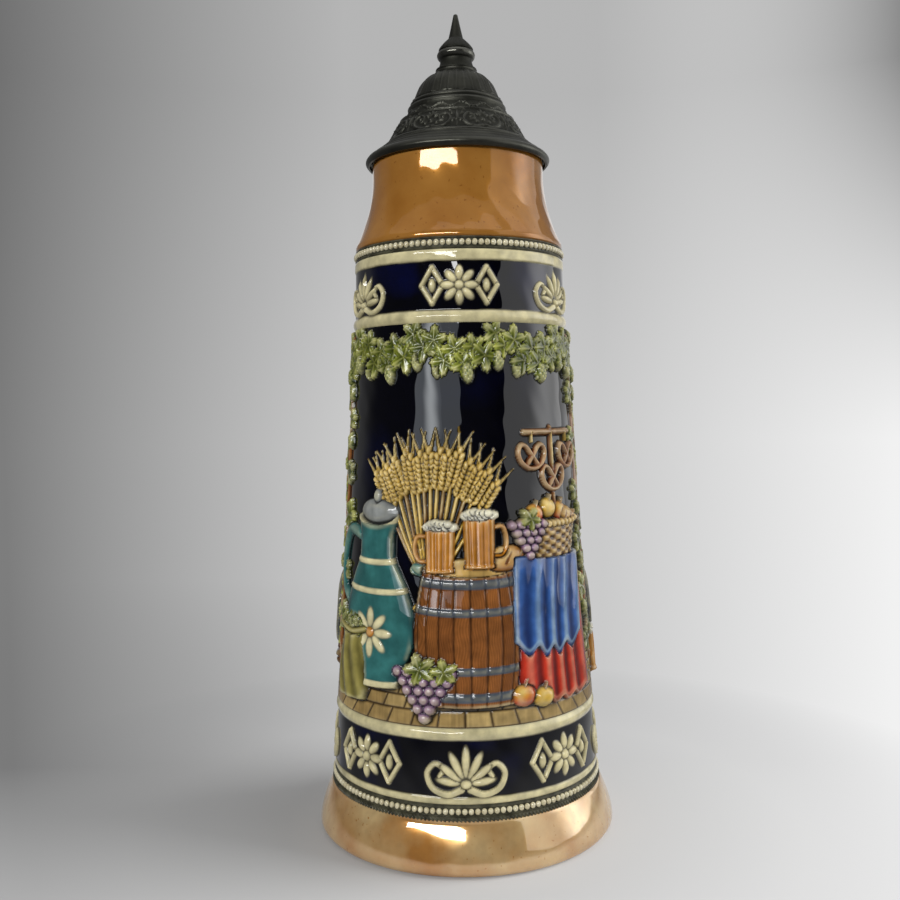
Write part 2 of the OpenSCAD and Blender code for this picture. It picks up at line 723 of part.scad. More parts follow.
module finial() {
    h_knop = collar_h;
    h_cap = h_knop + knop_h;
    h_spire = h_cap + cap_h;
    h_tip = h_spire + spire_h - tip_r;
    cap_r = collar_r + knop_proud / 2;
    collar = [for (i = [0:curve_n]) let (t = i / curve_n)
        [collar_r + (crown_top_r - collar_r) * pow(1 - t, cove_flare), collar_h * t]];
    cap = [for (i = [0:curve_n]) let (t = i / curve_n)
        [spire_r + (cap_r - spire_r) * cos(90 * t), h_cap + cap_h * t]];
    color(PEWTER) translate([0, 0, z_seat]) rotate_extrude() polygon(concat(
        [[0, -lid_t - tenon_out], [tenon_r, -lid_t - tenon_out], [tenon_r, 0]],
        collar,
        half_round([collar_r, h_knop], [collar_r, h_cap], knop_proud),
        cap,
        arc_pts([0, h_tip], tip_r, 0, 90)));
}

module lid_tang() {
    reach = [flange_top_r + lid_t, z_lid + h_step - lid_t * tan(flange_a)];
    color(PEWTER) difference() {
        union() {
            difference() {
                plate(tang_w - 2 * side_gap) {
                    strap(reach, [hinge_y, hinge_z], tang_t);
                    translate([thumb_back - thumb_d - pad_edge, hinge_z])
                        square([thumb_d + pad_edge, pad_z - hinge_z]);
                }
                across(knuckle_clear, -knuckle_w / 2 - side_gap, knuckle_w / 2 + side_gap);
            }
            for (i = [1, 3]) knuckle(i);
        }
        across(pin_d / 2 + pin_gap, -barrel_w, barrel_w);
        lid_solid();
    }
}

module thumblift() {
    hub = [0, thumb_stem_h];
    stem_w = thumb_w / 2;
    knob_r = stem_w / 2;
    fan_a = rib_a * (rib_n - 1) / 2;
    fan_reach = 2 * rib_len;
    color(PEWTER) translate([0, thumb_back - thumb_d / 2, pad_z]) {
        translate([-thumb_w / 2, -thumb_d / 2, 0]) cube([thumb_w, thumb_d, thumb_foot_h]);
        translate([0, 0, thumb_foot_h / 2]) rotate([90 - thumb_lean, 0, 0]) {
            linear_extrude(shell_t, center = true) {
                translate([-stem_w / 2, 0]) square([stem_w, thumb_stem_h]);
                for (s = [-1, 1]) translate([s * stem_w / 2, thumb_stem_h / 2]) circle(knob_r);
                intersection() {
                    translate(hub) circle(rib_len);
                    polygon([hub - [0, rib_d],
                             hub + fan_reach * [sin(fan_a), cos(fan_a)],
                             hub + fan_reach * [-sin(fan_a), cos(fan_a)]]);
                }
            }
            for (i = [0:rib_n - 1]) translate(hub) rotate(i * rib_a - fan_a) {
                rotate([-90, 0, 0]) cylinder(r1 = rib_d / 4, r2 = rib_d / 2, h = rib_len);
                translate([0, rib_len, 0]) sphere(rib_d / 2);
            }
        }
    }
}

vessel();
handle();
handle_band();
hinge_shank();
hinge_pin();
pin_caps();
lid_dome();
finial();
lid_tang();
thumblift();
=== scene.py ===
import math

import bmesh
import bpy
import numpy as np
from mathutils import Matrix, Vector


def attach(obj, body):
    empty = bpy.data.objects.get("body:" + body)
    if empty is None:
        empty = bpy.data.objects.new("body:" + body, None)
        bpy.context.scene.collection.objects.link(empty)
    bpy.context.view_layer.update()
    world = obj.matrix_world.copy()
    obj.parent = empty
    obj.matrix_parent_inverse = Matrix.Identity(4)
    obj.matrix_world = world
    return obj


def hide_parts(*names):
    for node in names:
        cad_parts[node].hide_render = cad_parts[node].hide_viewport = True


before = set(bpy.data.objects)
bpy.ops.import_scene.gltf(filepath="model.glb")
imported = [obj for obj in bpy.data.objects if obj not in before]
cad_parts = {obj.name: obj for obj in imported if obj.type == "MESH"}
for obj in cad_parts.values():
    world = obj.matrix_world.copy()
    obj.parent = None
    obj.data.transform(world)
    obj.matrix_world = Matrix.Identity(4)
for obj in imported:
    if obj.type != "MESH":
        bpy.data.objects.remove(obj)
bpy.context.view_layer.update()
scene = bpy.context.scene
mm = 0.001
tau = 2 * math.pi
print("frame:", len(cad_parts), "nodes")


# Node and object helpers

def feed(tree, node, inputs):  # each value is a socket, a node, a colour or a number
    for label, value in inputs.items():
        if isinstance(value, bpy.types.Node):
            value = value.outputs[0]
        if isinstance(value, bpy.types.NodeSocket):
            tree.links.new(value, node.inputs[label])
        elif isinstance(value, np.ndarray):
            node.inputs[label].default_value = (*value.tolist(), 1.0)
        elif value is not None:
            node.inputs[label].default_value = value


def addNode(tree, kind, inputs={}, **settings):
    node = tree.nodes.new(kind)
    for label, value in settings.items():
        setattr(node, label, value)
    feed(tree, node, inputs)
    return node


def mathNode(tree, operation, first, second=None):
    return addNode(tree, "ShaderNodeMath", {0: first, 1: second}, operation=operation)


def mapRange(tree, value, low, high, fromLow=0.0, fromHigh=1.0, kind="LINEAR"):
    limits = {"Value": value, "From Min": fromLow, "From Max": fromHigh, "To Min": low, "To Max": high}
    return addNode(tree, "ShaderNodeMapRange", limits, interpolation_type=kind)


def mixColour(tree, factor, first, second, blend="MIX"):
    inputs = {0: factor, 6: first, 7: second}
    return addNode(tree, "ShaderNodeMix", inputs, data_type="RGBA", blend_type=blend).outputs[2]


def addObject(name, data):
    thing = bpy.data.objects.new(name, data)
    scene.collection.objects.link(thing)
    return thing


def settled(maker):  # the mesh that an object's modifiers make; the object goes
    bpy.context.view_layer.update()
    mesh = bpy.data.meshes.new_from_object(maker.evaluated_get(bpy.context.evaluated_depsgraph_get()))
    bpy.data.objects.remove(maker)
    return mesh


# Camera and studio

view = {
    "place": (0.0, -0.55156, 0.22534),
    "lens": 40.0, "sensor": 36.0, "nearest": 0.01,
    "pitch": 2.2573, "yaw": -0.6591, "roll": -0.8268,  # degrees
}

studio = {
    "ambient": 0.30,  # world light on the object, from above the bowl
    "floorR": 1.3, "bowlR": 2.8, "bowlTop": 2.8,  # floor and backdrop as one round bowl, in metres
    "dark": 0.205, "middle": 0.59, "light": 0.88,  # tones of the backdrop, left to right
    "leftFade": (-0.46, -0.11), "rightFade": (0.14, 0.43),  # where those tones blend, as side over depth
    "floorDark": 0.51, "floorLight": 0.93, "floorFade": (-0.44, 0.44),  # tones of the floor
    "nearGlow": 0.3,  # share of the floor's tone beside the stein, where lit paper shows
    "paper": (0.38, 0.38, 0.38), "paperFar": (0.10, 0.10, 0.11), "paperRough": 0.85,
}

# upright lamps round the stein: azimuths in degrees from the front towards +X, heights and distance in metres
paneTint = (0.92, 0.99, 1.09)
softBoxes = {
    "windowSky": {"turn": (-48, -1), "tall": (0.66, 0.93), "away": 1.67, "radiance": 16.0,
                  "roll": -3, "only": "steinPieces"},
    "windowLeft": {"turn": (-48, -20), "tall": (0.0, 0.65), "away": 1.67, "radiance": 1.6,
                   "only": "picturePieces", "tint": paneTint},
    "windowRight": {"turn": (-20, -1), "tall": (0.0, 0.65), "away": 1.67, "radiance": 1.2,
                    "only": "picturePieces", "tint": paneTint},
    "windowGlow": {"turn": (-39, -21), "tall": (0.0, 0.65), "away": 1.66, "radiance": 5.2,
                   "only": "picturePieces", "soft": True, "tint": (0.96, 1.0, 1.02)},
    "rightWall": {"turn": (44, 125), "tall": (-0.1, 2.0), "away": 1.5, "radiance": 0.7},
    "rightPane": {"turn": (44, 125), "tall": (-0.1, 2.0), "away": 1.48, "radiance": 0.42,
                  "only": "paintedPieces"},
    "rightEdge": {"turn": (70, 116), "tall": (0.0, 1.2), "away": 1.45, "radiance": 1.7, "soft": True},
    "floorSide": {"turn": (66, 112), "tall": (0.55, 1.35), "away": 1.5, "radiance": 12.0, "only": "paper"},
    "back": {"turn": (150, 200), "tall": (0.7, 1.5), "away": 1.9, "radiance": 0.35},
}
overhead = {"wide": 1.7, "tall": 1.7, "radiance": 0.55, "spot": (0.2, -0.1, 1.9), "aim": (0.2, -0.05, 0)}

litNames = ("steinPieces", "paintedPieces", "picturePieces", "paper")  # what a lamp may be kept to
litGroups = {name: bpy.data.collections.new(name) for name in litNames}


def cameraMatrix():
    p, w, r = (math.radians(view[k]) for k in ("pitch", "yaw", "roll"))
    right = Vector((math.cos(w), -math.sin(w), 0))
    forward = Vector((math.sin(w) * math.cos(p), math.cos(w) * math.cos(p), -math.sin(p)))
    up = right.cross(forward)
    tilted = right * math.cos(r) + up * math.sin(r)
    upright = up * math.cos(r) - right * math.sin(r)
    turn = Matrix((tilted, upright, -forward)).transposed()
    return Matrix.Translation(view["place"]) @ turn.to_4x4()


def addCamera():
    data = bpy.data.cameras.new("camera")
    data.lens = view["lens"]
    data.sensor_width = view["sensor"]
    data.clip_start = view["nearest"]
    scene.camera = addObject("camera", data)
    scene.camera.matrix_world = cameraMatrix()


def fadeSides(data):  # the lamp fades towards its upright edges
    data.use_nodes = True
    tree = data.node_tree
    spot = addNode(tree, "ShaderNodeNewGeometry").outputs["Parametric"]
    across = addNode(tree, "ShaderNodeSeparateXYZ", {"Vector": spot})
    inwards = mathNode(tree, "PINGPONG", across, 0.5)
    feed(tree, tree.nodes["Emission"], {"Strength": mapRange(tree, inwards, 0, 1, 0, 0.5, "SMOOTHSTEP")})


def addLamp(name, wide, tall, radiance, spot, aim, roll=0.0, only=None, soft=False, tint=(1, 1, 1)):
    data = bpy.data.lights.new(name, "AREA")
    data.shape = "RECTANGLE"
    data.size, data.size_y = wide, tall
    data.energy = radiance * math.pi * wide * tall
    data.color = tint
    if soft:
        fadeSides(data)
    lamp = addObject(name, data)
    turn = (Vector(aim) - Vector(spot)).to_track_quat("-Z", "Y")
    upright = Matrix.LocRotScale(Vector(spot), turn, None)
    lamp.matrix_world = upright @ Matrix.Rotation(math.radians(roll), 4, "Z")
    lamp.visible_camera = False
    if only:
        lamp.light_linking.receiver_collection = litGroups[only]


def addSoftBox(name, turn, tall, away, radiance, **rest):
    middle, half = math.radians((turn[0] + turn[1]) / 2), math.radians((turn[1] - turn[0]) / 2)
    height = (tall[0] + tall[1]) / 2
    spot = (math.sin(middle) * away, -math.cos(middle) * away, height)
    addLamp(name, 2 * away * math.tan(half), tall[1] - tall[0], radiance, spot, (0, 0, height), **rest)


def addWorld():
    scene.world = bpy.data.worlds.new("studio")
    scene.world.use_nodes = True
    tree = scene.world.node_tree
    feed(tree, tree.nodes["Background"], {"Color": (1, 1, 1, 1), "Strength": studio["ambient"]})


scene.view_settings.view_transform = "Standard"
addCamera()
addWorld()
for lampName, lampBox in softBoxes.items():
    addSoftBox(lampName, **lampBox)
addLamp("overhead", **overhead)
print("camera and lamps:", len(softBoxes) + 1)


# Mesh helpers: points are in millimetres, meshes in metres

def arc(centre, radius, start, end, steps=12):
    turn = np.radians(np.linspace(start, end, steps + 1))
    return np.stack([centre[0] + radius * np.cos(turn), centre[1] + radius * np.sin(turn)], 1)


def gridMesh(name, points, wrap=False):
    rows, cols = points.shape[:2]
    index = np.arange(rows * cols).reshape(rows, cols)
    if wrap:
        index = np.concatenate([index, index[:, :1]], 1)
    quads = np.stack([index[:-1, :-1], index[:-1, 1:], index[1:, 1:], index[1:, :-1]], -1).reshape(-1, 4)
    mesh = bpy.data.meshes.new(name)
    mesh.vertices.add(rows * cols)
    mesh.vertices.foreach_set("co", (points.reshape(-1) * mm).astype(np.float32))
    mesh.loops.add(quads.size)
    mesh.loops.foreach_set("vertex_index", quads.reshape(-1).astype(np.int32))
    mesh.polygons.add(len(quads))
    mesh.polygons.foreach_set("loop_start", np.arange(0, quads.size, 4, dtype=np.int32))
    mesh.update(calc_edges=True)
    mesh.shade_smooth()
    return mesh


def unit(vectors):
    return vectors / np.linalg.norm(vectors, axis=-1, keepdims=True)


def gridNormals(points):
    return unit(np.cross(np.roll(points, -1, 1) - np.roll(points, 1, 1), np.gradient(points, axis=0)))


def mendMesh(mesh, gap, mend=None):  # doubles nearer than the gap are merged, then any further mend is made
    work = bmesh.new()
    work.from_mesh(mesh)
    bmesh.ops.remove_doubles(work, verts=work.verts, dist=gap)
    if mend:
        mend(work)
    work.to_mesh(mesh)
    work.free()


def revolve(radius, height, angle):
    return np.stack([radius * np.sin(angle), -radius * np.cos(angle), height + 0 * angle], -1)


def lathe(name, profile, steps=288, sharpAngle=38):  # the profile runs so that its faces point outwards
    profile = np.asarray(profile, float)
    angle = np.arange(steps) * tau / steps
    mesh = gridMesh(name, revolve(profile[:, :1], profile[:, 1:], angle[None, :]), wrap=True)
    mendMesh(mesh, 1e-7)
    mesh.shade_smooth()
    mesh.set_sharp_from_angle(angle=math.radians(sharpAngle))
    return mesh


def swells(angle, up, waves=16):  # low waves in a glaze, so that reflections waver
    draw = np.random.default_rng(41)
    field = 0
    for _ in range(waves):
        turns, slant, start = draw.integers(8, 32), draw.uniform(-0.4, 0.4), draw.uniform(0, tau)
        field = field + np.sin(turns * angle + slant * up + start)
    return field / math.sqrt(waves / 2)


def waver(mesh, low, high, deep=0.04):  # the same on a turned mesh, between two heights
    spots = np.empty(len(mesh.vertices) * 3, np.float32)
    mesh.vertices.foreach_get("co", spots)
    x, y, z = spots.reshape(-1, 3).T / mm
    lift = deep * swells(np.arctan2(x, -y), z) * np.clip(np.minimum(z - low, high - z) / 3, 0, 1)
    grow = 1 + lift / np.maximum(np.hypot(x, y), 1.0)
    spots = np.stack([x * grow, y * grow, z], 1) * mm
    mesh.vertices.foreach_set("co", spots.astype(np.float32).reshape(-1))
    return mesh


def place(name, mesh, material, body, node):
    mesh.materials.clear()
    mesh.materials.append(material)
    piece = addObject(name, mesh)
    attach(piece, body)
    litGroups["steinPieces"].objects.link(piece)
    if material.name in ("pictureGlaze", "beadCream", "channelGlaze"):
        litGroups["paintedPieces"].objects.link(piece)
    if name.startswith("picturePanel"):
        litGroups["picturePieces"].objects.link(piece)
    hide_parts(node)


def placeStone(name, mesh, material, node="vessel"):
    place(name, mesh, material, "stein", node)


def placePewter(name, mesh, material, node, body="lid"):
    place(name, mesh, material, body, node)


# Colours and materials

surfaceTones = {  # scale input and its value, noise levels that give 0 and 1, and detail
    "Cloud": ("Cloud Scale", 40.0, 0.34, 0.66, 4.0),
    "Specks": ("Speck Scale", 420.0, 0.70, 0.76, 1.0),
    "Ripple": ("Ripple Scale", 60.0, 0.0, 1.0, 1.5),
}

glazes = {
    "neckLustre": {"deep": (168, 109, 40), "light": (194, 137, 64), "speck": (154, 98, 38),
                   "cloud": 26.0, "lustre": 0.22, "gloss": 1.48},
    "footLustre": {"deep": (200, 138, 64), "light": (240, 206, 146), "speck": (196, 138, 70),
                   "cloud": 30.0, "lustre": 0.38, "gloss": 2.2},
    "insideGlaze": {"deep": (214, 204, 176), "light": (226, 218, 194), "speck": (150, 130, 96),
                    "cloud": 22.0, "lustre": 0.0, "gloss": 1.5},
    "handleLustre": {"deep": (156, 100, 38), "light": (184, 128, 64), "speck": (150, 94, 38),
                     "cloud": 24.0, "lustre": 0.22, "gloss": 1.45},
}


def paint(screen):  # screen colour, 0 to 255, as scene linear
    return np.array([v / 3294.6 if v < 10.3 else ((v / 255 + 0.055) / 1.055) ** 2.4 for v in screen])


def makeSurfaceGroup():  # clouds, specks and ripples that the glazes and the pewter share
    tree = bpy.data.node_groups.new("surfaceTone", "ShaderNodeTree")
    for label, (scaleLabel, scale, *_) in surfaceTones.items():
        socket = tree.interface.new_socket(scaleLabel, in_out="INPUT", socket_type="NodeSocketFloat")
        socket.default_value = scale
        tree.interface.new_socket(label, in_out="OUTPUT", socket_type="NodeSocketFloat")
    source, sink = addNode(tree, "NodeGroupInput"), addNode(tree, "NodeGroupOutput")
    coords = addNode(tree, "ShaderNodeTexCoord").outputs["Object"]
    for label, (scaleLabel, _, low, high, detail) in surfaceTones.items():
        inputs = {"Vector": coords, "Scale": source.outputs[scaleLabel], "Detail": detail}
        noise = addNode(tree, "ShaderNodeTexNoise", inputs)
        feed(tree, sink, {label: mapRange(tree, noise.outputs["Fac"], 0.0, 1.0, low, high)})
    return tree


surfaceGroup = makeSurfaceGroup()


def toneNode(tree, cloud, speck=420.0, ripple=60.0):
    scales = {"Cloud Scale": cloud, "Speck Scale": speck, "Ripple Scale": ripple}
    return addNode(tree, "ShaderNodeGroup", scales, node_tree=surfaceGroup)


def startMaterial(name, cloud, speck, ripple):
    material = bpy.data.materials.new(name)
    material.use_nodes = True
    return material, material.node_tree, toneNode(material.node_tree, cloud, speck, ripple)


def finishMaterial(material, tone, ripple, deep, inputs):  # strength and depth of the ripples, and the rest
    tree = material.node_tree
    bump = {"Strength": ripple, "Distance": deep, "Height": tone.outputs["Ripple"]}
    inputs["Normal"] = addNode(tree, "ShaderNodeBump", bump)
    feed(tree, tree.nodes["Principled BSDF"], inputs)
    return material


def mottled(tree, colour, factor, dark, bright):  # the colour times a grey between two levels
    grey = mixColour(tree, factor, np.full(3, dark), np.full(3, bright))
    return mixColour(tree, 1.0, colour, grey, "MULTIPLY")


def lustreGlaze(name):  # lustre tints what it reflects, unevenly
    glaze = glazes[name]
    material, tree, tone = startMaterial(name, glaze["cloud"], speck=520.0, ripple=45.0)
    clouded = mixColour(tree, tone.outputs["Cloud"], paint(glaze["deep"]), paint(glaze["light"]))
    specked = mixColour(tree, tone.outputs["Specks"], clouded, paint(glaze["speck"]))
    worn = toneNode(tree, 6 * glaze["cloud"]).outputs["Cloud"]  # small worn spots
    return finishMaterial(material, tone, ripple=0.2, deep=0.002, inputs={
        "Base Color": mottled(tree, specked, worn, 0.93, 1.06),
        "Metallic": mapRange(tree, worn, 0.75 * glaze["lustre"], 1.25 * glaze["lustre"]),
        "Specular IOR Level": 0.0, "Roughness": 0.14, "Coat Weight": 1.0, "Coat IOR": glaze["gloss"]})


def paintedGlaze(name):  # clear glaze over the colours that the relief carries in its "paint" attribute
    material, tree, tone = startMaterial(name, cloud=160.0, speck=600.0, ripple=55.0)
    colours = addNode(tree, "ShaderNodeAttribute", attribute_name="paint").outputs["Color"]
    return finishMaterial(material, tone, ripple=0.5, deep=0.002, inputs={
        "Base Color": mottled(tree, colours, tone.outputs["Cloud"], 0.80, 1.12),
        "Specular IOR Level": 0.0, "Roughness": 0.5, "Coat Weight": 1.0, "Coat Roughness": 0.025})


def creamGlaze(name, colour, stain, gloss=1.0):
    material, tree, tone = startMaterial(name, cloud=240.0, speck=700.0, ripple=300.0)
    return finishMaterial(material, tone, ripple=0.1, deep=0.0006, inputs={
        "Base Color": mixColour(tree, tone.outputs["Cloud"], paint(stain), paint(colour)),
        "Specular IOR Level": 0.5 * gloss, "Roughness": 0.55 - 0.3 * gloss, "Coat Weight": gloss})


def pewterMetal(name, dark, bright):
    material, tree, tone = startMaterial(name, cloud=70.0, speck=900.0, ripple=420.0)
    cloud = tone.outputs["Cloud"]
    return finishMaterial(material, tone, ripple=0.25, deep=0.0006, inputs={
        "Base Color": mixColour(tree, cloud, paint(dark), paint(bright)),
        "Roughness": mapRange(tree, cloud, 0.52, 0.36), "Metallic": 0.85})


def wornPewter(name, deep, middle, bright):  # dark in the hollows and rubbed on the ridges, by "wear"
    material, tree, tone = startMaterial(name, cloud=90.0, speck=900.0, ripple=380.0)
    wear = addNode(tree, "ShaderNodeAttribute", attribute_name="wear").outputs["Fac"]
    hollow = mapRange(tree, wear, 0.0, 1.0, 0.12, 0.48)
    rubbed = mapRange(tree, wear, 0.0, 1.0, 0.45, 0.95)
    base = mixColour(tree, rubbed, mixColour(tree, hollow, paint(deep), paint(middle)), paint(bright))
    return finishMaterial(material, tone, ripple=0.2, deep=0.0005, inputs={
        "Base Color": mottled(tree, base, tone.outputs["Cloud"], 0.72, 1.15),
        "Roughness": mapRange(tree, wear, 0.62, 0.22), "Metallic": 0.85})


neckLustre, footLustre, insideGlaze, handleLustre = (lustreGlaze(name) for name in glazes)
pictureGlaze = paintedGlaze("pictureGlaze")
beadCream = creamGlaze("beadCream", (238, 230, 196), (208, 196, 156))
channelGlaze = creamGlaze("channelGlaze", (92, 90, 72), (50, 49, 38), gloss=0.3)
pewter = pewterMetal("pewter", (80, 80, 72), (104, 104, 95))
castPewter = wornPewter("castPewter", (34, 35, 30), (65, 65, 58), (95, 95, 88))
pinSteel = pewterMetal("pinSteel", (120, 122, 124), (150, 152, 154))
print("materials:", len(bpy.data.materials))


# Floor and backdrop in one bowl, darker towards the left

def paperMaterial():  # lit paper near the stein; farther out, a tone that camera and reflections see as it is
    material = bpy.data.materials.new("backdropPaper")
    material.use_nodes = True
    tree = material.node_tree
    paper = tree.nodes["Principled BSDF"]

    def join(operation, first, *others):
        for other in others or (None,):
            first = mathNode(tree, operation, first, other)
        return first

    def ramp(value, start, end, low=0.0, high=1.0):
        return mapRange(tree, value, low, high, start, end)

    coords = addNode(tree, "ShaderNodeTexCoord").outputs["Object"]
    x, y, z = addNode(tree, "ShaderNodeSeparateXYZ", {"Vector": coords}).outputs
    away = join("SQRT", join("ADD", join("MULTIPLY", x, x), join("MULTIPLY", y, y)))
    depth = join("MAXIMUM", join("ABSOLUTE", join("SUBTRACT", y, view["place"][1])), 0.42)
    side = join("DIVIDE", x, depth)  # the tones fan out from the front, as light from one side leaves them
    wallTone = join("ADD", ramp(side, *studio["leftFade"], studio["dark"], studio["middle"]),
                    ramp(side, *studio["rightFade"], 0.0, studio["light"] - studio["middle"]))
    corner = ramp(side, 0.2, 0.45)
    corner = ramp(join("MULTIPLY", corner, corner), 0.0, 1.0, 0.22, 0.76)
    shadow = join("MULTIPLY", ramp(z, 0.15, 1.25), corner)
    wallTone = join("MULTIPLY", wallTone, join("SUBTRACT", 1.0, shadow))
    floorTone = ramp(side, *studio["floorFade"], studio["floorDark"], studio["floorLight"])
    upright = join("MAXIMUM", ramp(y, -0.12, 0.08), ramp(z, 0.05, 0.7))
    tone = addNode(tree, "ShaderNodeMix", {"Factor": upright, "A": floorTone, "B": wallTone})
    paintedShade = join("MULTIPLY", ramp(side, -0.28, 0.0, 0.22, 0.0), ramp(y, 0.1, 0.8, 1.0, 0.0),
               ramp(y, -0.10, 0.0), ramp(side, -0.46, -0.2, 0.2, 1.0))  # painted shade: dimmer behind the stein and to the left
    tone = join("MULTIPLY", tone, join("SUBTRACT", 1.0, paintedShade))
    near = ramp(away, 0.18, 0.4, 1.0, 0.0)
    colour = mixColour(tree, near, np.array(studio["paperFar"]), np.array(studio["paper"]))
    feed(tree, paper, {"Base Color": colour, "Roughness": studio["paperRough"]})
    ray = addNode(tree, "ShaderNodeLightPath").outputs
    mirrored = join("MAXIMUM", ramp(y, 0.1, 1.1), ramp(away, 0.13, 0.3, 1.0, 0.0))  # what reflections see
    seen = join("MAXIMUM", ray["Is Camera Ray"], join("MULTIPLY", ray["Is Glossy Ray"], mirrored))
    far = join("MULTIPLY", seen, ramp(away, 0.10, 0.33))
    level = join("MULTIPLY", seen, ramp(far, 0.0, 1.0, studio["nearGlow"], 1.0))
    glow = addNode(tree, "ShaderNodeEmission", {"Strength": join("MULTIPLY", tone, level)})
    black = addNode(tree, "ShaderNodeEmission", {"Strength": 0.0})
    lit = addNode(tree, "ShaderNodeMixShader", {0: far, 1: paper, 2: black})
    both = addNode(tree, "ShaderNodeAddShader", {0: lit, 1: glow})
    feed(tree, tree.nodes["Material Output"], {"Surface": both})
    return material


def addBowl():
    bend = studio["bowlR"] - studio["floorR"]
    corner = arc((studio["floorR"], bend), bend, -90, 0, 24)
    line = np.concatenate([[[0, 0]], corner, [[studio["bowlR"], studio["bowlTop"]]]])
    mesh = lathe("bowl", line[::-1] / mm, steps=96, sharpAngle=60)
    mesh.materials.append(paperMaterial())
    bowl = addObject("bowl", mesh)
    litGroups["paper"].objects.link(bowl)


addBowl()

# Heights and radii of the vessel, in millimetres

wall = {
    "footR": 80.6, "footTopR": 73.9, "footRound": 4.0, "footFlare": 1.5, "footRing": 12.0, "hollow": 5.0,
    "beadLow": 24.7, "filletLow": 33.5, "friezeLow": 37.1, "ringLow": 64.2, "panel": 70.4,
    "ringUp": 268.8, "friezeUp": 275.0, "filletUp": 299.4, "beadUp": 305.0, "neck": 311.3,
    "cove": 313.6, "coveTop": 352.0, "lip": 361.6, "lipR": 46.2, "lipThick": 5.2,
    "baseR": 71.6, "shoulderR": 57.0, "neckR": 56.0, "neckRound": 1.2, "waist": 0.9,
    "thick": 6.0, "floor": 14.0, "floorRound": 12.0, "ringProud": 1.2,
    "tuck": 1.0,  # how far the ends run in under the bands
}


def wallR(z):
    z = np.asarray(z, float)
    low, panel, top = wall["friezeLow"], wall["panel"], wall["ringUp"]
    shoulder = wall["shoulderR"]
    straight = wall["baseR"] + (shoulder - wall["baseR"]) * (z - low) / (top - low)
    up = np.clip((z - panel) / (top - panel), 0, 1)
    high = shoulder + (wall["neckR"] - shoulder) * (z - top) / (wall["neck"] - top)
    return np.where(z <= top, straight - wall["waist"] * np.sin(np.pi * up), high)


def coveR(t):
    return wall["lipR"] + (wall["neckR"] - wall["lipR"]) * (1 - t) ** 2


def outerR(z):  # outside of the wall and the neck
    t = np.clip((z - wall["cove"]) / (wall["coveTop"] - wall["cove"]), 0, 1)
    return np.where(z < wall["neck"], wallR(z), coveR(t))


def neckLine(steps=28):
    t = np.linspace(0, 1, steps + 1)
    return np.stack([coveR(t), wall["cove"] + (wall["coveTop"] - wall["cove"]) * t], 1)


def footLine(steps=20):
    t = np.linspace(0, 1, steps + 1)
    r = wall["footR"] - (wall["footR"] - wall["footTopR"]) * t ** wall["footFlare"]
    return np.stack([r, wall["footRound"] + (wall["beadLow"] - wall["footRound"]) * t], 1)


def buildVessel():
    tuck, bend, lipRound = wall["tuck"], wall["neckRound"], wall["lipThick"] / 2
    outer = [[wall["neckR"] - tuck, wall["neck"] - tuck], [wall["neckR"] - 0.3, wall["neck"]]]
    shoulder = arc((wall["neckR"] - bend, wall["neck"] + bend), bend, -60, 10, 6)
    lip = arc((wall["lipR"] - lipRound, wall["lip"] - lipRound), lipRound, 0, 180, 20)
    neck = np.concatenate([outer, shoulder, neckLine(), lip])
    placeStone("neckAndLip", waver(lathe("neckMesh", neck), wall["cove"], wall["lip"] - 2), neckLustre)
    z = np.linspace(wall["beadUp"], wall["floor"] + wall["floorRound"], 30)
    body = np.stack([wallR(z) - wall["thick"], z], 1)
    corner = arc((body[-1, 0] - wall["floorRound"], z[-1]), wall["floorRound"], 0, -90, 14)
    inside = [[neck[-1]], neckLine()[::-1] - [wall["lipThick"], 0], body, corner, [[0, wall["floor"]]]]
    placeStone("inside", lathe("insideMesh", np.concatenate(inside)), insideGlaze)
    footEdge = wall["footR"] - wall["footRound"]
    ringIn = footEdge - wall["footRing"]
    foot = np.concatenate([
        [[0, wall["hollow"]], [ringIn - 1.5, wall["hollow"]], [ringIn, 1.0], [ringIn + 1.0, 0]],
        arc((footEdge, wall["footRound"]), wall["footRound"], -90, 0, 10),
        footLine()[1:],
        [[wall["footTopR"] - tuck, wall["beadLow"] + tuck]]])
    placeStone("foot", waver(lathe("footMesh", foot), 2, wall["beadLow"]), footLustre)


buildVessel()
print("vessel built")

# Relief: a canvas is the unrolled wall, with a height in millimetres and a colour at each point

palette = {name: paint(screen) for name, screen in {
    "ground": (1, 1, 7), "groundThin": (3, 8, 52),
    "tile": (188, 160, 104), "tileDark": (158, 128, 76), "grout": (72, 52, 28),
    "leafDark": (16, 28, 6), "leafGreen": (60, 82, 14), "leafYellow": (180, 184, 70),
    "hopPale": (164, 168, 78), "twig": (126, 72, 36),
    "oak": (150, 92, 44), "oakDark": (84, 44, 20), "oakTop": (214, 174, 100),
    "iron": (78, 84, 92), "tin": (150, 152, 148),
    "teal": (60, 122, 118), "tealDark": (20, 56, 60), "cream": (230, 219, 171),
    "amber": (206, 132, 36), "foam": (240, 236, 218), "straw": (222, 180, 78), "strawDark": (150, 104, 36),
    "red": (206, 58, 36), "redDark": (128, 26, 20), "redPale": (226, 128, 100),
    "blue": (62, 104, 172), "blueDark": (26, 48, 104), "bluePale": (150, 184, 210),
    "plum": (104, 62, 104), "plumPale": (176, 140, 172), "olive": (168, 156, 84), "oliveDark": (92, 84, 38),
    "bread": (196, 130, 60), "crust": (120, 62, 24), "apple": (198, 48, 34), "appleGold": (226, 182, 70),
}.items()}


def ink(colour):  # a colour, or its name in the palette
    return palette[colour] if isinstance(colour, str) else colour


def shade(colour, amount):
    return ink(colour) * np.asarray(amount)[..., None]


def blendPaint(first, second, amount):
    amount = np.clip(np.asarray(amount), 0, 1)[..., None]
    return ink(first) * (1 - amount) + ink(second) * amount


def rounded(share):  # quarter wave from 0 to 1
    return np.sin(np.clip(share, 0, 1) * math.pi / 2)


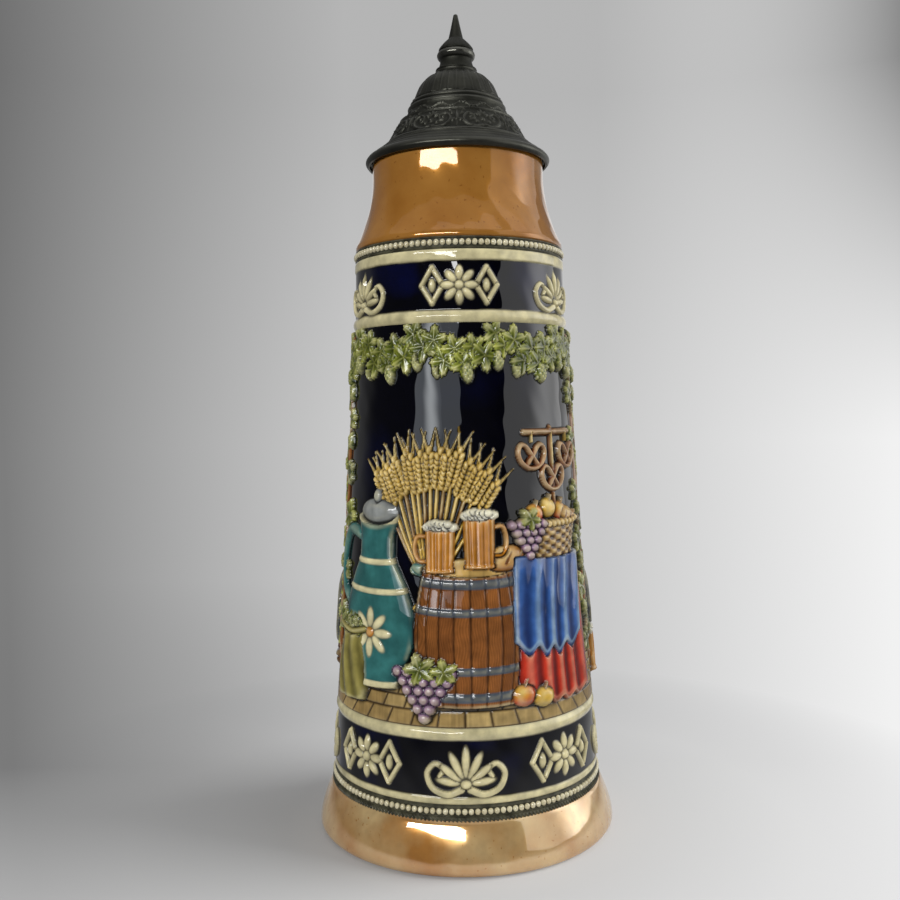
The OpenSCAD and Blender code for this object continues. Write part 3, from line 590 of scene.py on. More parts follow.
def domeOf(far):  # half round: 1 in the middle, 0 at the edge
    return np.sqrt(np.clip(1 - far ** 2, 0, 1))


def seamGap(spot):  # distance from the nearest whole number
    return 0.5 - np.abs(spot % 1 - 0.5)


def scatter(i, j=0.0):  # fixed pseudo-random number from 0 to 1
    return (np.sin(np.asarray(i) * 12.9898 + np.asarray(j) * 78.233) * 43758.5453) % 1.0


def newCanvas(low, high, meanR, step, ground="cream"):
    cols = 4 * round(tau * meanR / step / 4)
    rows = round((high - low) / step) + 1
    stepX, stepZ = tau * meanR / cols, (high - low) / (rows - 1)
    return {"low": low, "high": high, "meanR": meanR, "around": tau * meanR,
            "cols": cols, "rows": rows, "stepX": stepX, "stepZ": stepZ,
            "x": ((np.arange(cols) - cols // 2) * stepX)[None, :],
            "z": (low + np.arange(rows) * stepZ)[:, None],
            "h": np.zeros((rows, cols)), "c": np.tile(ink(ground), (rows, cols, 1))}


def window(cv, x, z, reachX, reachZ=None):  # the part of a canvas round a point, and the distances from it
    reachZ = reachZ or reachX
    first = math.floor((x - reachX) / cv["stepX"]) + cv["cols"] // 2
    col = np.arange(first, first + math.ceil(2 * reachX / cv["stepX"]) + 2)
    row = np.arange(max(0, math.floor((z - reachZ - cv["low"]) / cv["stepZ"])),
                    min(cv["rows"], math.ceil((z + reachZ - cv["low"]) / cv["stepZ"]) + 1))
    dx = (col - cv["cols"] // 2) * cv["stepX"] - x
    return np.ix_(row, col % cv["cols"]), dx[None, :], cv["z"][row] - z


def press(cv, at, depth, top, colour, base=0.0, edge=1.0):  # depth is negative inside the shape
    cv["h"][at] = np.where(depth < 0, base + top * rounded(-depth / edge), cv["h"][at])
    cv["c"][at] = blendPaint(cv["c"][at], colour, 0.5 - depth / 0.7)


def turned(dx, dz, degrees):
    c, s = math.cos(math.radians(degrees)), math.sin(math.radians(degrees))
    return dx * c + dz * s, dz * c - dx * s


def spread(x, z, wide, tall, points):  # a drawing of unit size, set out round a spot
    return np.array(points) * (wide, tall) + (x, z)


def curveThrough(points, steps=6):  # smooth line through a few points
    p = np.asarray(points, float)
    p = np.concatenate([[2 * p[0] - p[1]], p, [2 * p[-1] - p[-2]]])
    t = np.linspace(0, 1, steps, endpoint=False)[:, None]
    runs = []
    for a, b, c, d in zip(p, p[1:], p[2:], p[3:]):
        bends = (2 * a - 5 * b + 4 * c - d) * t ** 2 + (3 * b - a - 3 * c + d) * t ** 3
        runs.append(0.5 * (2 * b + (c - a) * t + bends))
    return np.concatenate(runs + [p[-2:-1]])


def stroke(cv, points, wide, top, colour, base=0.0, taper=1.0, edge=None):
    p = np.asarray(points, float)
    middle, reach = (p.max(0) + p.min(0)) / 2, (p.max(0) - p.min(0)) / 2 + wide
    at, dx, dz = window(cv, *middle, *reach)
    depth = np.full(np.broadcast(dx, dz).shape, 1e9)
    halves = np.linspace(wide, wide * taper, len(p)) / 2
    for a, b, r0, r1 in zip(p - middle, p[1:] - middle, halves, halves[1:]):
        run = b - a
        t = np.clip(((dx - a[0]) * run[0] + (dz - a[1]) * run[1]) / max(run @ run, 1e-9), 0, 1)
        far = np.hypot(dx - a[0] - t * run[0], dz - a[1] - t * run[1])
        depth = np.minimum(depth, far - r0 - (r1 - r0) * t)
    # painted shade: the stroke darker towards its edges and lighter along its middle, unless an edge width is
    # given
    tone = 0.62 + 0.5 * np.clip(-depth / (wide / 2), 0, 1) if edge is None else np.ones_like(depth)
    press(cv, at, depth, top, shade(colour, tone), base, edge or wide / 2)


def ball(cv, x, z, rx, rz, top, colour, base=0.0, turn=0.0, glow=None):
    at, dx, dz = window(cv, x, z, max(rx, rz) + 1)
    u, v = turned(dx, dz, turn)
    k = np.hypot(u / rx, v / rz)
    dome = domeOf(k)
    # painted shade: darker towards the rim, lighter in the middle
    colours = shade(colour, 0.5 + 0.6 * dome)
    if glow is not None:  # second colour where the light falls, above and to the left
        colours = blendPaint(colours, glow, 1.1 - np.hypot(dx / rx + 0.35, dz / rz - 0.4))
    small = min(rx, rz)
    press(cv, at, (k - 1) * small, 0.35 * top + 0.65 * top * dome, colours, base, edge=small * 0.6)


def petals(cv, x, z, count, first, step, size, out, wide, long, top, base=0.0, droop=0.0):
    middle = (count - 1) / 2
    for i in range(count):  # long balls that point away from a spot, the outer ones shorter by the droop
        way = math.radians(first + step * i)
        far = size * (1.0 - droop * abs(i - middle) / middle)
        px, pz = x + out * far * math.sin(way), z + out * far * math.cos(way)
        ball(cv, px, pz, wide, far * long, top, "cream", base, turn=-first - step * i)


def leaf(cv, x, z, size, turn, tone, base=0.6, top=1.3):  # five lobes with a toothed edge
    at, dx, dz = window(cv, x, z, size * 1.05 + 1)
    u, v = turned(dx, dz, turn)
    far, way = np.hypot(u, v), np.arctan2(v, u)
    lobe = np.abs(np.cos(2.5 * way))
    edge = size * (0.50 + 0.42 * lobe ** 1.3 + 0.05 * np.cos(25 * way))
    veinGap = np.abs((way + math.pi / 5) % (tau / 5) - math.pi / 5) * far
    vein = np.exp(-(veinGap / 0.55) ** 2)
    out = far / edge
    colours = blendPaint("leafDark", "leafGreen", out * 0.9)
    colours = blendPaint(colours, "leafYellow", tone * out ** 2 + 0.55 * vein * tone)
    lift = top * (0.72 + 0.28 * lobe) + 0.3 * vein - 0.35 * (1 - out)
    press(cv, at, (far - edge) * 0.85, lift, colours, base, edge=0.9)


def hopCone(cv, x, z, size, turn=0.0, base=0.9):
    at, dx, dz = window(cv, x, z, size + 1)
    u, v = turned(dx, dz, turn)
    k = np.hypot(u / (size * 0.58), v / size)
    row = np.floor(v / size * 3.5)
    down = 1 - (v / size * 3.5 - row)
    across = (u / size * 2.3 + 0.5 * (row % 2)) % 1.0 - 0.5
    scale = np.clip(1.15 - np.hypot(across * 1.9, down - 0.35) * 1.25, 0, 1)
    dome = domeOf(k)
    # painted shade: darker towards the cone's rim
    colours = shade(blendPaint("leafGreen", "hopPale", scale), 0.62 + 0.5 * dome)
    press(cv, at, (k - 1) * size * 0.58, 1.5 * dome + 0.5 * scale + 0.3, colours, base, edge=1.1)


def turnedShape(cv, x, z, outline, lift, surface, base, inset=0.5, rings=(), proud=0.5, ringInk="cream"):
    heights, halves = np.array(outline, float).T  # half widths by height
    sag = 0.09
    tall, wide = heights[-1], halves.max()
    at, dx, dz = window(cv, x, z + tall / 2, wide + 2, tall / 2 + 3 + sag * wide)
    dz = dz + tall / 2
    half = sum(np.interp(dz + shift, heights, halves) for shift in (-2, -1, 0, 1, 2)) / 5
    u = np.clip(dx / half, -1, 1)
    bow = domeOf(u)
    level = dz + sag * half * bow  # rings bow downwards in the middle, as seen from above
    depth = np.maximum(np.abs(dx) - half, np.maximum(-level, level - tall - sag * half * bow))
    colours, carved = surface(u, level, bow)
    press(cv, at, depth, 0.25 * lift + 0.75 * lift * bow, colours, base)
    cv["h"][at] += np.where(depth < -inset, carved, 0)
    for low, high in rings:
        inside = np.minimum(np.minimum(level - low, high - level), -depth)
        cv["h"][at] += proud * rounded(inside / ((high - low) / 2))
        # painted shade: the rings darker towards the sides
        cv["c"][at] = blendPaint(cv["c"][at], shade(ringInk, 0.5 + 0.6 * bow), inside / 0.5 + 0.5)


def tileFloor(cv, far, rows, tileWide):
    x, z = cv["x"], cv["z"]
    farEdge = far + 2.0 * np.sin(x / 21.0) + 1.2 * np.sin(x / 8.3 + 1)
    back = np.clip((z - cv["low"]) / (far - cv["low"]), 0, 1.2)  # 0 at the front of the floor, 1 at the back
    row = rows * (np.exp(0.9 * back) - 1) / (math.exp(0.9) - 1)
    turn = np.sin(x / (cv["meanR"] * 0.9)) * 0.35  # joints lean away from the middle of each side
    col = (x * (1 + 0.35 * back) + turn * back * 10) / tileWide + 0.5 * (np.floor(row) % 2)
    tall = 8.0 * (1 - 0.45 * back)
    joint = np.clip(np.minimum(seamGap(row) * tall, seamGap(col) * tileWide) / 0.9, 0, 1)
    own = scatter(np.floor(row), np.floor(col))
    grain = 0.85 + 0.25 * scatter(np.floor(x * 1.1 + 7 * own), np.floor(row) * 3)
    colours = shade(blendPaint("tile", "tileDark", own * 0.8), grain)
    colours = blendPaint("grout", colours, joint ** 1.5)
    floor, fade = z < farEdge, np.clip((farEdge - z) / 1.0, 0, 1)
    cv["h"][:] = np.where(floor, 0.25 + 0.55 * rounded(joint), cv["h"]) * np.where(floor, fade, 1)
    cv["c"][:] = np.where(floor[..., None], colours, cv["c"])


def barrel(cv, x, z, wide, tall, base=0.8, lift=3.0):
    outline = [(tall * t, wide / 2 * (0.84 + 0.16 * math.sin(math.pi * t))) for t in np.linspace(0, 1, 12)]
    hoops = np.array(((0.05, 0.12), (0.25, 0.31), (0.68, 0.74), (0.88, 0.95))) * tall

    def stave(u, level, bow):
        spot = np.arcsin(u) / math.pi * 11
        own = scatter(np.floor(spot) + 5 * x, 2)
        seam = np.clip(seamGap(spot) * 9, 0, 1)
        grain = 0.9 + 0.2 * np.sin(spot * 37 + 3 * np.sin(level * 0.35 + own * 9))
        wood = shade(blendPaint("oakDark", "oak", 0.45 + 0.55 * own), grain)
        groove = 0.45 * np.clip(1 - seamGap(spot) * 7, 0, 1)
        # painted shade: staves darker towards the barrel's sides, besides the dark seams between them
        return shade(wood, (0.5 + 0.6 * bow) * (0.4 + 0.6 * seam)), -groove

    turnedShape(cv, x, z, outline, lift, stave, base, 0.0, hoops, 0.6, "iron")
    half = wide / 2 * 0.84
    at, dx, dz = window(cv, x, z + tall, half + 2, half * 0.3 + 2)
    k = np.hypot(dx / half, dz / (half * 0.2))
    rim = k > 0.88
    plank = np.clip(seamGap(dx / 6.5) * 7, 0, 1)
    colours = shade("oakTop", np.where(rim, 0.75, 0.78 + 0.25 * plank))
    press(cv, at, (k - 1) * half * 0.2, 1.6 + 0.5 * rim, colours, base + 0.6, edge=0.8)


def jug(cv, x, z, size, base=0.9, lift=3.2, side=-1):
    outline = np.array(((0, .17), (.04, .19), (.22, .26), (.42, .27), (.58, .21), (.72, .135), (.84, .13),
                        (.93, .155), (.97, .16))) * size
    rings = np.array(((.0, .045), (.54, .57), (.70, .73), (.93, .975))) * size
    handle = spread(x, z, side * size, size, ((.13, .84), (.30, .86), (.40, .70), (.36, .52), (.25, .44)))
    stroke(cv, curveThrough(handle), size * 0.075, 1.6, "teal", base)

    def glaze(u, level, bow):
        drip = 0.5 + 0.5 * np.sin(u * 7 + np.sin(level * 0.2) * 2)
        # painted shade: darker towards the jug's sides; the darker runs are the glaze's own
        return blendPaint("tealDark", "teal", 0.35 + 0.6 * bow - 0.3 * drip), 0

    turnedShape(cv, x, z, outline, lift, glaze, base, rings=rings)
    flower = base + lift * 0.93
    petals(cv, x, z + size * 0.30, 8, 0, 45, size, 0.085, size * 0.026, 0.058, 0.7, flower)
    knobs = ((0.30, 0.03, 0.03, 1.0, "amber", flower), (0.985, 0.155, 0.075, 2.2, "tin", base),
             (1.075, 0.035, 0.045, 1.8, "tin", base))  # the flower's middle, and a lid with its knob
    for up, rx, rz, top, colour, low in knobs:
        ball(cv, x, z + size * up, size * rx, size * rz, top, colour, low)


def mug(cv, x, z, wide, tall, base=1.4, lift=2.6, side=1):
    handle = spread(x, z, side * wide, tall, ((.42, .80), (.72, .78), (.80, .48), (.66, .26), (.44, .24)))
    stroke(cv, curveThrough(handle), wide * 0.15, 1.4, "amber", base)

    def glass(u, level, bow):
        flute = np.cos(np.arcsin(u) * 14)
        # painted shade: darker towards the mug's sides; the flutes paler and darker in turn
        return blendPaint("strawDark", "amber", 0.25 + 0.5 * bow + 0.4 * (0.5 + 0.5 * flute)), 0.3 * flute

    outline = np.array(((0, .46), (.08, .43), (1, .47))) * (tall, wide)
    turnedShape(cv, x, z, outline, lift, glass, base, 0.6, [(0, tall * 0.1)], ringInk="amber")
    for i in range(9):
        ball(cv, x + wide * (-.40 + .10 * i), z + tall * (1.0 + 0.06 * scatter(i, x)),
             wide * (.13 + .06 * scatter(i, 3)), wide * .13, 1.6, "foam", base + 1.0)
    for i in range(5):
        ball(cv, x + wide * (-.26 + .13 * i), z + tall * 1.0 + wide * (.10 + .05 * scatter(i, 8)),
             wide * .14, wide * .12, 1.7, "foam", base + 1.3)


def wheatEar(cv, x, z, turn, size, base):
    aim = np.array([math.sin(math.radians(turn)), math.cos(math.radians(turn))])
    side = np.array([aim[1], -aim[0]])
    root = np.array([x, z])
    for s in (-1, 1):
        for k in range(3):
            start = root + aim * size * (0.55 + 0.2 * k)
            end = start + aim * size * 0.65 + side * s * size * (0.12 + 0.05 * k)
            stroke(cv, [start, end], 0.8, 0.5, "straw", base, 0.4)
    for k in range(7):
        for s in (-1, 1):
            grain = root + aim * size * (0.07 + 0.13 * k) + side * s * size * 0.085
            ball(cv, *grain, size * 0.075, size * 0.13, 1.5, "straw", base + 0.25, turn=-turn - s * 22)
    ball(cv, *(root + aim * size), size * 0.07, size * 0.13, 1.5, "straw", base + 0.25, turn=-turn)


def sheaf(cv, x, z, wide, tall, stems=15, base=0.5):
    for i in range(stems):
        lean = (i - (stems - 1) / 2) / ((stems - 1) / 2)
        foot = (x - lean * wide * 0.62 + 2 * scatter(i, 4), z - tall * 0.42)
        tie = (x + lean * wide * 0.20, z)
        crown = (x + lean * wide * 0.80, z + tall * (0.62 - 0.16 * lean ** 2 - 0.08 * scatter(i, 1)))
        colour = "straw" if i % 3 else "strawDark"
        stroke(cv, curveThrough([foot, tie, crown]), 2.0, 1.0 + 0.4 * scatter(i, 2), colour, base)
        wheatEar(cv, *crown, lean * 34 + 8 * (scatter(i, 6) - 0.5), tall * 0.25, base + 0.5 * scatter(i, 5))
    band = [(x - wide * 0.26, z + 1), (x, z - 1), (x + wide * 0.26, z + 1)]
    stroke(cv, band, 5.0, 1.6, "teal", base + 0.8)
    for s in (-1, 1):
        tail = curveThrough([(x, z), (x + s * 4, z - 9), (x + s * 3, z - 17)])
        stroke(cv, tail, 3.2, 1.2, "teal", base + 1.0, 0.8)
        ball(cv, x + s * 5.0, z + 1.5, 4.6, 2.9, 1.6, "teal", base + 1.2, turn=s * 18)
    ball(cv, x, z, 2.2, 2.4, 1.6, shade("tealDark", 2), base + 1.6)


def drape(cv, x, low, high, halfTop, halfLow, folds, colour, base, lift, swing=1.6, lean=0.0):
    middle, tall = (low + high) / 2, (high - low) / 2
    at, dx, dz = window(cv, x, middle, max(halfTop, halfLow) + 3, tall + 4)
    up = np.clip((dz + tall) / (2 * tall), 0, 1)
    half = halfLow + (halfTop - halfLow) * up ** 0.8
    u = (dx - lean * (1 - up)) / half
    fold = np.cos(u * math.pi * folds + 1.3 * np.sin(u * 3.1) + 0.5 * np.sin(up * 4))
    deep = (1 - up) ** 0.5  # folds are fuller at the hem
    hem = -tall + swing * (fold * 0.9 + u ** 2 * 1.5)
    depth = np.maximum(np.abs(u) * half - half, np.maximum(hem - dz, dz - tall))
    # painted shade: darker in the troughs of the folds and paler on their crests, more so towards the hem
    tone = 0.5 + 0.5 * fold * (0.45 + 0.55 * deep)
    pale = colour + "Pale"
    painted = blendPaint(blendPaint(colour + "Dark", colour, tone * 1.8), pale, (tone - 0.62) * 1.7)
    painted = blendPaint(painted, pale, 0.7 * np.exp(-((dz - hem - 3.2) / 0.8) ** 2))  # border line
    press(cv, at, depth, lift * (0.55 + 0.45 * tone), painted, base, edge=1.2)


def basket(cv, x, z, wide, tall, base=1.6, lift=2.6, cane=2.3):
    def woven(u, level, bow):
        weave = np.sin(np.arcsin(u) * 13 + math.pi * (np.floor(level / cane) % 2))
        # painted shade: darker towards the basket's sides, over the weave
        colours = blendPaint("oakDark", "oakTop", 0.45 + 0.4 * weave * bow)
        return shade(colours, 0.55 + 0.5 * bow), 0.55 * (weave * np.sin((level / cane % 1) * math.pi))

    outline = np.array(((0, .36), (.5, .44), (1, .5))) * (tall, wide)
    turnedShape(cv, x, z, outline, lift, woven, base)
    for i in range(13):
        s = -1 + i / 6
        ball(cv, x + s * wide * 0.49, z + tall - 0.09 * wide * math.sqrt(1 - min(1, s * s)) * 0.4,
             wide * 0.055, wide * 0.05, 1.5, "oakTop", base + 1.6, turn=30)


def grapes(cv, x, z, rows, size, base):
    for r in range(rows):
        for k in range(rows - r):
            px = x + (k - (rows - r - 1) / 2) * size * 1.75 + 0.5 * (scatter(r, k) - 0.5)
            low = base + 0.35 * scatter(k, r)
            ball(cv, px, z - r * size * 1.5, size, size, 2.0, "plum", low, glow="plumPale")


def apple(cv, x, z, size, base, colour="apple"):
    ball(cv, x, z, size, size * 0.93, 2.8, colour, base, glow="appleGold")
    stroke(cv, [(x, z + size * 0.75), (x + size * 0.2, z + size * 1.25)], 1.0, 0.8, "twig", base + 1.4)


def loaf(cv, x, z, wide, tall, base, turn=0.0):
    ball(cv, x, z, wide, tall, 2.8, "bread", base, turn, glow="oakTop")
    for s in (-0.5, 0, 0.5):
        cut = [(x + s * wide - wide * .10, z - tall * .3), (x + s * wide + wide * .16, z + tall * .55)]
        stroke(cv, cut, 1.3, 0.45, "crust", base + 2.1, 0.6)


def pretzel(cv, x, z, size, base):
    half = [(0, -.85), (.4, -.76), (.82, -.42), (1.0, .12), (.80, .52), (.44, .44), (.06, -.04), (-.36, -.56)]
    line = [(-a, b) for a, b in half[::-1]] + half[1:]
    stroke(cv, curveThrough(spread(x, z, size, size, line)), size * 0.34, 1.8, shade("crust", 1.7), base)


def sack(cv, x, z, wide, tall, base=1.2, lift=3.0):
    def burlap(u, level, bow):
        fold = np.sin(u * 9 + level * 0.12 + 2 * np.sin(level * 0.07))
        weave = 0.92 + 0.08 * np.sin(level * 4.5) * np.sin(u * wide * 2.2)
        # painted shade: darker towards the sack's sides and in the troughs of its folds; the weave is the
        # cloth's own
        colours = blendPaint("oliveDark", "olive", 0.55 + 0.3 * fold + 0.2 * bow)
        return shade(colours, weave * (0.6 + 0.45 * bow)), 0.35 * fold

    outline = np.array(((0, .44), (.15, .5), (.55, .47), (.8, .38), (1, .42))) * (tall, wide)
    turnedShape(cv, x, z, outline, lift, burlap, base)
    for i in range(11):
        hopCone(cv, x + wide * (-.34 + .068 * i), z + tall + 2.2 * math.sin(i * 1.9) + 1.5, 4.2,
                turn=60 * (scatter(i, 9) - .5), base=base + 0.8)
    brim = [(x - wide * .44, z + tall), (x, z + tall - wide * .10), (x + wide * .44, z + tall)]
    stroke(cv, curveThrough(brim), 4.0, 1.8, "olive", base + 1.0)


def hopPole(cv, x, low, high, phase, base=0.3):
    pole = [(x + 1, low), (x - 1, (low + high) / 2), (x + 0.5, high)]
    stroke(cv, curveThrough(pole), 4.2, 1.2, "oak", base)
    z = np.linspace(low + 4, high, 60)
    stroke(cv, np.stack([x + 4.5 * np.sin(z / 11 + phase), z], 1), 1.4, 0.8, "twig", base + 0.9)
    for i, zi in enumerate(np.arange(low + 12, high, 13.0)):
        s = 1 if i % 2 else -1
        own = scatter(i, x)
        off, turn = s * (5 + 4 * own), 90 - s * (40 + 60 * own)
        leaf(cv, x + off, zi + 5 * (own - .5), 6 + 4 * scatter(i, 2 * x), turn, own, base + 0.5)
        if own < 0.5:
            hopCone(cv, x - off, zi + 4 - 8 * own, 4.5 + 2 * own, 24 * (own - .25), base + 0.7)


def swag(cv, left, right, drop, base=0.6):  # hanging garland of hop leaves and cones
    (x0, z0), (x1, z1) = left, right
    t = np.linspace(0, 1, 40)
    line = np.stack([x0 + (x1 - x0) * t, z0 + (z1 - z0) * t - drop * 4 * t * (1 - t)], 1)
    stroke(cv, line, 2.0, 1.0, "twig", base)
    count = max(3, int(abs(x1 - x0) / 5.2))
    for i in range(count):
        px, pz = line[int((i + 0.5) / count * 39)]
        s = 1 if i % 2 else -1
        leaf(cv, px, pz + s * 3.6, 7.2 + 2.6 * scatter(i, x0), 90 * s + 50 * (scatter(i, 3) - .5),
             0.3 + 0.6 * scatter(i, x1), base + 0.3 * scatter(i, 5))
        if i % 3 == 1:
            hopCone(cv, px + 2, pz - 8 - 2 * scatter(i, 8), 5.4, 16 * (scatter(i, 2) - .5), base + 0.9)


def keg(cv, x, z, size, base=1.0):  # lying keg, end on, in its cradle
    timber = shade("oakDark", 1.4)
    for s in (-1, 1):
        leg = [(x + s * size * 0.95, z - size * 1.15), (x + s * size * 0.55, z - size * 0.55)]
        stroke(cv, leg, 5.0, 1.6, timber, base)
    stroke(cv, [(x - size, z - size * 1.0), (x + size, z - size * 1.0)], 4.5, 1.8, timber, base + 0.3)
    at, dx, dz = window(cv, x, z, size + 2)
    k = np.hypot(dx, dz) / size
    spot = dx / (size * 0.30) + 0.5
    plank = np.clip(seamGap(spot) * 8, 0, 1)
    wood = shade(blendPaint("oak", "oakTop", scatter(np.floor(spot), x) * 0.7), 0.45 + 0.55 * plank)
    rim = k > 0.86
    colours = np.where(rim[..., None], ink("iron"), wood)
    press(cv, at, (k - 1) * size, np.where(rim, 3.0, 1.9) - 0.5 * (1 - plank) * ~rim, colours, base)
    ball(cv, x, z - size * 0.45, size * 0.13, size * 0.13, 1.4, "oakTop", base + 1.8)
    stroke(cv, [(x, z - size * 0.45), (x, z - size * 0.75)], 2.6, 1.5, "tin", base + 2.0)
    key, up = size * .16, z - size * .42
    stroke(cv, [(x - key, up), (x + key, up)], 2.2, 1.3, "tin", base + 2.6)


def blur(field, size):  # two box blurs, wrapped round the wall
    n = 2 * size + 1
    for axis in (0, 0, 1, 1):
        pad = [(size, size) if a == axis else (0, 0) for a in (0, 1)]
        run = np.cumsum(np.pad(field, pad, mode="wrap" if axis else "edge"), axis)
        run = np.insert(run, 0, 0, axis)
        last = run.shape[axis]
        field = (np.take(run, range(n, last), axis) - np.take(run, range(last - n), axis)) / n
    return field


def cloudField(cv, size, seed):  # soft fixed noise from 0 to 1, wrapped round the wall
    cells = (max(2, int((cv["high"] - cv["low"]) / size)), int(cv["around"] / size))
    grid = np.random.default_rng(seed).random(cells)
    field = np.repeat(grid, math.ceil(cv["rows"] / cells[0]), 0)
    field = np.repeat(field, math.ceil(cv["cols"] / cells[1]), 1)
    field = blur(field[:cv["rows"], :cv["cols"]], max(1, int(size / cv["stepX"] / 2)))
    return (field - field.min()) / (field.max() - field.min())


def glazeMarksAndShade(cv, wash, bare=0.4, tone=0.72):  # brush marks; painted shade in the hollows, where the glaze also pools darker; paler on the ridges, partly painted highlight and partly pale clay
    brush = 0.55 * cloudField(cv, 7.0, 3) + 0.45 * cloudField(cv, 2.0, 4)
    hollow = cv["h"] - blur(cv["h"], 3)
    cv["c"] *= (tone + 0.5 * brush)[..., None]
    # paler towards cream on the ridges: partly painted highlight, partly pale clay where the glaze is thin
    worn = np.clip((hollow - 0.12) / 0.5, 0, 1) * bare * (cv["h"] > 0.6)
    cv["c"] = blendPaint(cv["c"], "cream", worn * brush * 1.6)
    # painted shade: darker in the hollows, where the glaze also pools
    cv["c"] *= (1 - wash * np.clip((-hollow - 0.05) / 0.55, 0, 1))[..., None]


panel = {
    "meanR": 63.0, "step": 0.5,  # millimetres between the points of its canvas
    "floorFar": 104.0, "floorRows": 6, "tileWide": 12.5,
    "poles": ((-86, 0), (86, 2), (-150, 4), (150, 1)), "poleLow": 92, "poleHigh": 264,  # places and phases
    "swags": 9, "swagTop": 263, "swagDrop": 11,
    # how dark the painted shade in the hollows is, and the level of the colours with their brush marks
    "wash": 0.9, "tone": 0.64,
}


def drawPanel():  # from the back to the front; places are millimetres round from the front, and heights
    cv = newCanvas(wall["panel"], wall["ringUp"], panel["meanR"], panel["step"], "ground")
    thin = np.clip(cloudField(cv, 16.0, 8) * 2.2 - 1.35, 0, 1)
    cv["c"] = blendPaint(cv["c"], "groundThin", 0.3 * thin)
    tileFloor(cv, panel["floorFar"], panel["floorRows"], panel["tileWide"])
    for px, phase in panel["poles"]:
        hopPole(cv, px, panel["poleLow"], panel["poleHigh"], phase)
    swags, top = panel["swags"], panel["swagTop"]
    for i in range(swags):
        left = (i - swags / 2) * tau * panel["meanR"] / swags
        swag(cv, (left, top), (left + cv["around"] / swags, top), panel["swagDrop"])
    sheaf(cv, -16, 146, 30, 72)
    jug(cv, -47, 88, 88)
    barrel(cv, 3, 82, 54, 66)
    loaf(cv, 21, 152, 11, 6.5, 1.8, 8)
    mug(cv, 8, 148, 17, 25, side=1)
    mug(cv, -11, 146, 16, 22, side=-1)
    stroke(cv, [(53, 150), (53, 216)], 3.4, 1.4, "oak", 0.4)
    stroke(cv, [(34, 214), (72, 214)], 3.4, 1.5, "oak", 0.6)
    for px, pz in ((38.5, 203), (67.5, 203), (53, 192)):
        stroke(cv, [(px, 214), (px, pz + 6)], 1.0, 0.7, "straw", 1.4)
        pretzel(cv, px, pz, 8.5, 1.0)
    drape(cv, 49, 79, 150, 21, 26, 5, "red", 0.9, 2.8)
    drape(cv, 46, 104, 153, 22, 21, 4, "blue", 1.7, 2.6, swing=3.0, lean=-2)
    for px, pz, colour in ((38, 173, "apple"), (47, 175.5, "appleGold"), (56, 173.5, "apple")):
        apple(cv, px, pz, 5.4, 1.6, colour)
    loaf(cv, 63, 170, 9, 5.5, 1.5, -20)
    basket(cv, 49, 152, 40, 17)
    grapes(cv, 33.5, 168, 5, 2.5, 3.0)
    leaf(cv, 34, 171, 6.5, 60, 0.6, 3.6)
    sack(cv, -63, 79, 27, 36)
    apple(cv, 27, 85, 6.2, 2.4)
    apple(cv, 37, 83, 5.6, 2.8, "appleGold")
    grapes(cv, -18, 97, 6, 2.9, 2.6)
    leaf(cv, -20, 99, 8.5, 110, 0.5, 3.6)
    leaf(cv, -9, 98, 7.0, 30, 0.8, 3.6)
    for s in (-1, 1):
        keg(cv, s * 116, 116, 23)
        jug(cv, s * 170, 84, 60, base=0.6, lift=2.2, side=-s)
    mug(cv, 98, 82, 15, 22, side=1)
    glazeMarksAndShade(cv, panel["wash"], tone=panel["tone"])
    return cv


def palmette(cv, x, z, size, top=1.6):
    petals(cv, x, z, 7, -81, 27, size, 0.58, size * 0.115, 0.42, top, droop=0.2)
    ball(cv, x, z, size * 0.16, size * 0.13, top + 0.5, "cream")


def volute(cv, x, z, size, side, top=1.6):  # scroll that runs out from the foot of a palmette and curls up
    line = [(0.15, -0.2), (0.6, -0.36), (1.1, -0.16), (1.28, 0.3), (1.02, 0.62), (0.74, 0.46), (0.86, 0.22)]
    line = curveThrough(spread(x, z, side * size, size, line))
    stroke(cv, line, size * 0.25, top, "cream", taper=0.6, edge=0.9)


def rosette(cv, x, z, size, top=1.5):
    petals(cv, x, z, 8, 0, 45, size, 0.60, size * 0.22, 0.40, top)
    ball(cv, x, z, size * 0.26, size * 0.26, top + 0.5, "cream")


def lozenge(cv, x, z, size, top=1.6):
    corners = spread(x, z, size * 0.62, size, ((0, 1), (1, 0), (0, -1), (-1, 0), (0, 1)))
    for a, b in zip(corners, corners[1:]):
        stroke(cv, [a, b], 2.6, top, "cream", edge=0.9)
    ball(cv, x, z, size * 0.22, size * 0.40, top, "cream")


# canvas step, how dark the painted shade in the hollows is, and how far the ridges pale as partly painted
# highlight
friezeGlaze = {"step": 0.45, "wash": 0.7, "bare": 0.3}
friezes = {  # heights by their names in the wall
    "lowerFrieze": {"fillet": ("filletLow", "friezeLow"), "field": ("friezeLow", "ringLow"),
                    "ring": ("ringLow", "panel"), "meanR": 70.3, "groups": 8, "seed": 1},
    "upperFrieze": {"fillet": ("filletUp", "beadUp"), "field": ("friezeUp", "filletUp"),
                    "ring": ("ringUp", "friezeUp"), "meanR": 56.8, "groups": 6, "seed": 2},
}


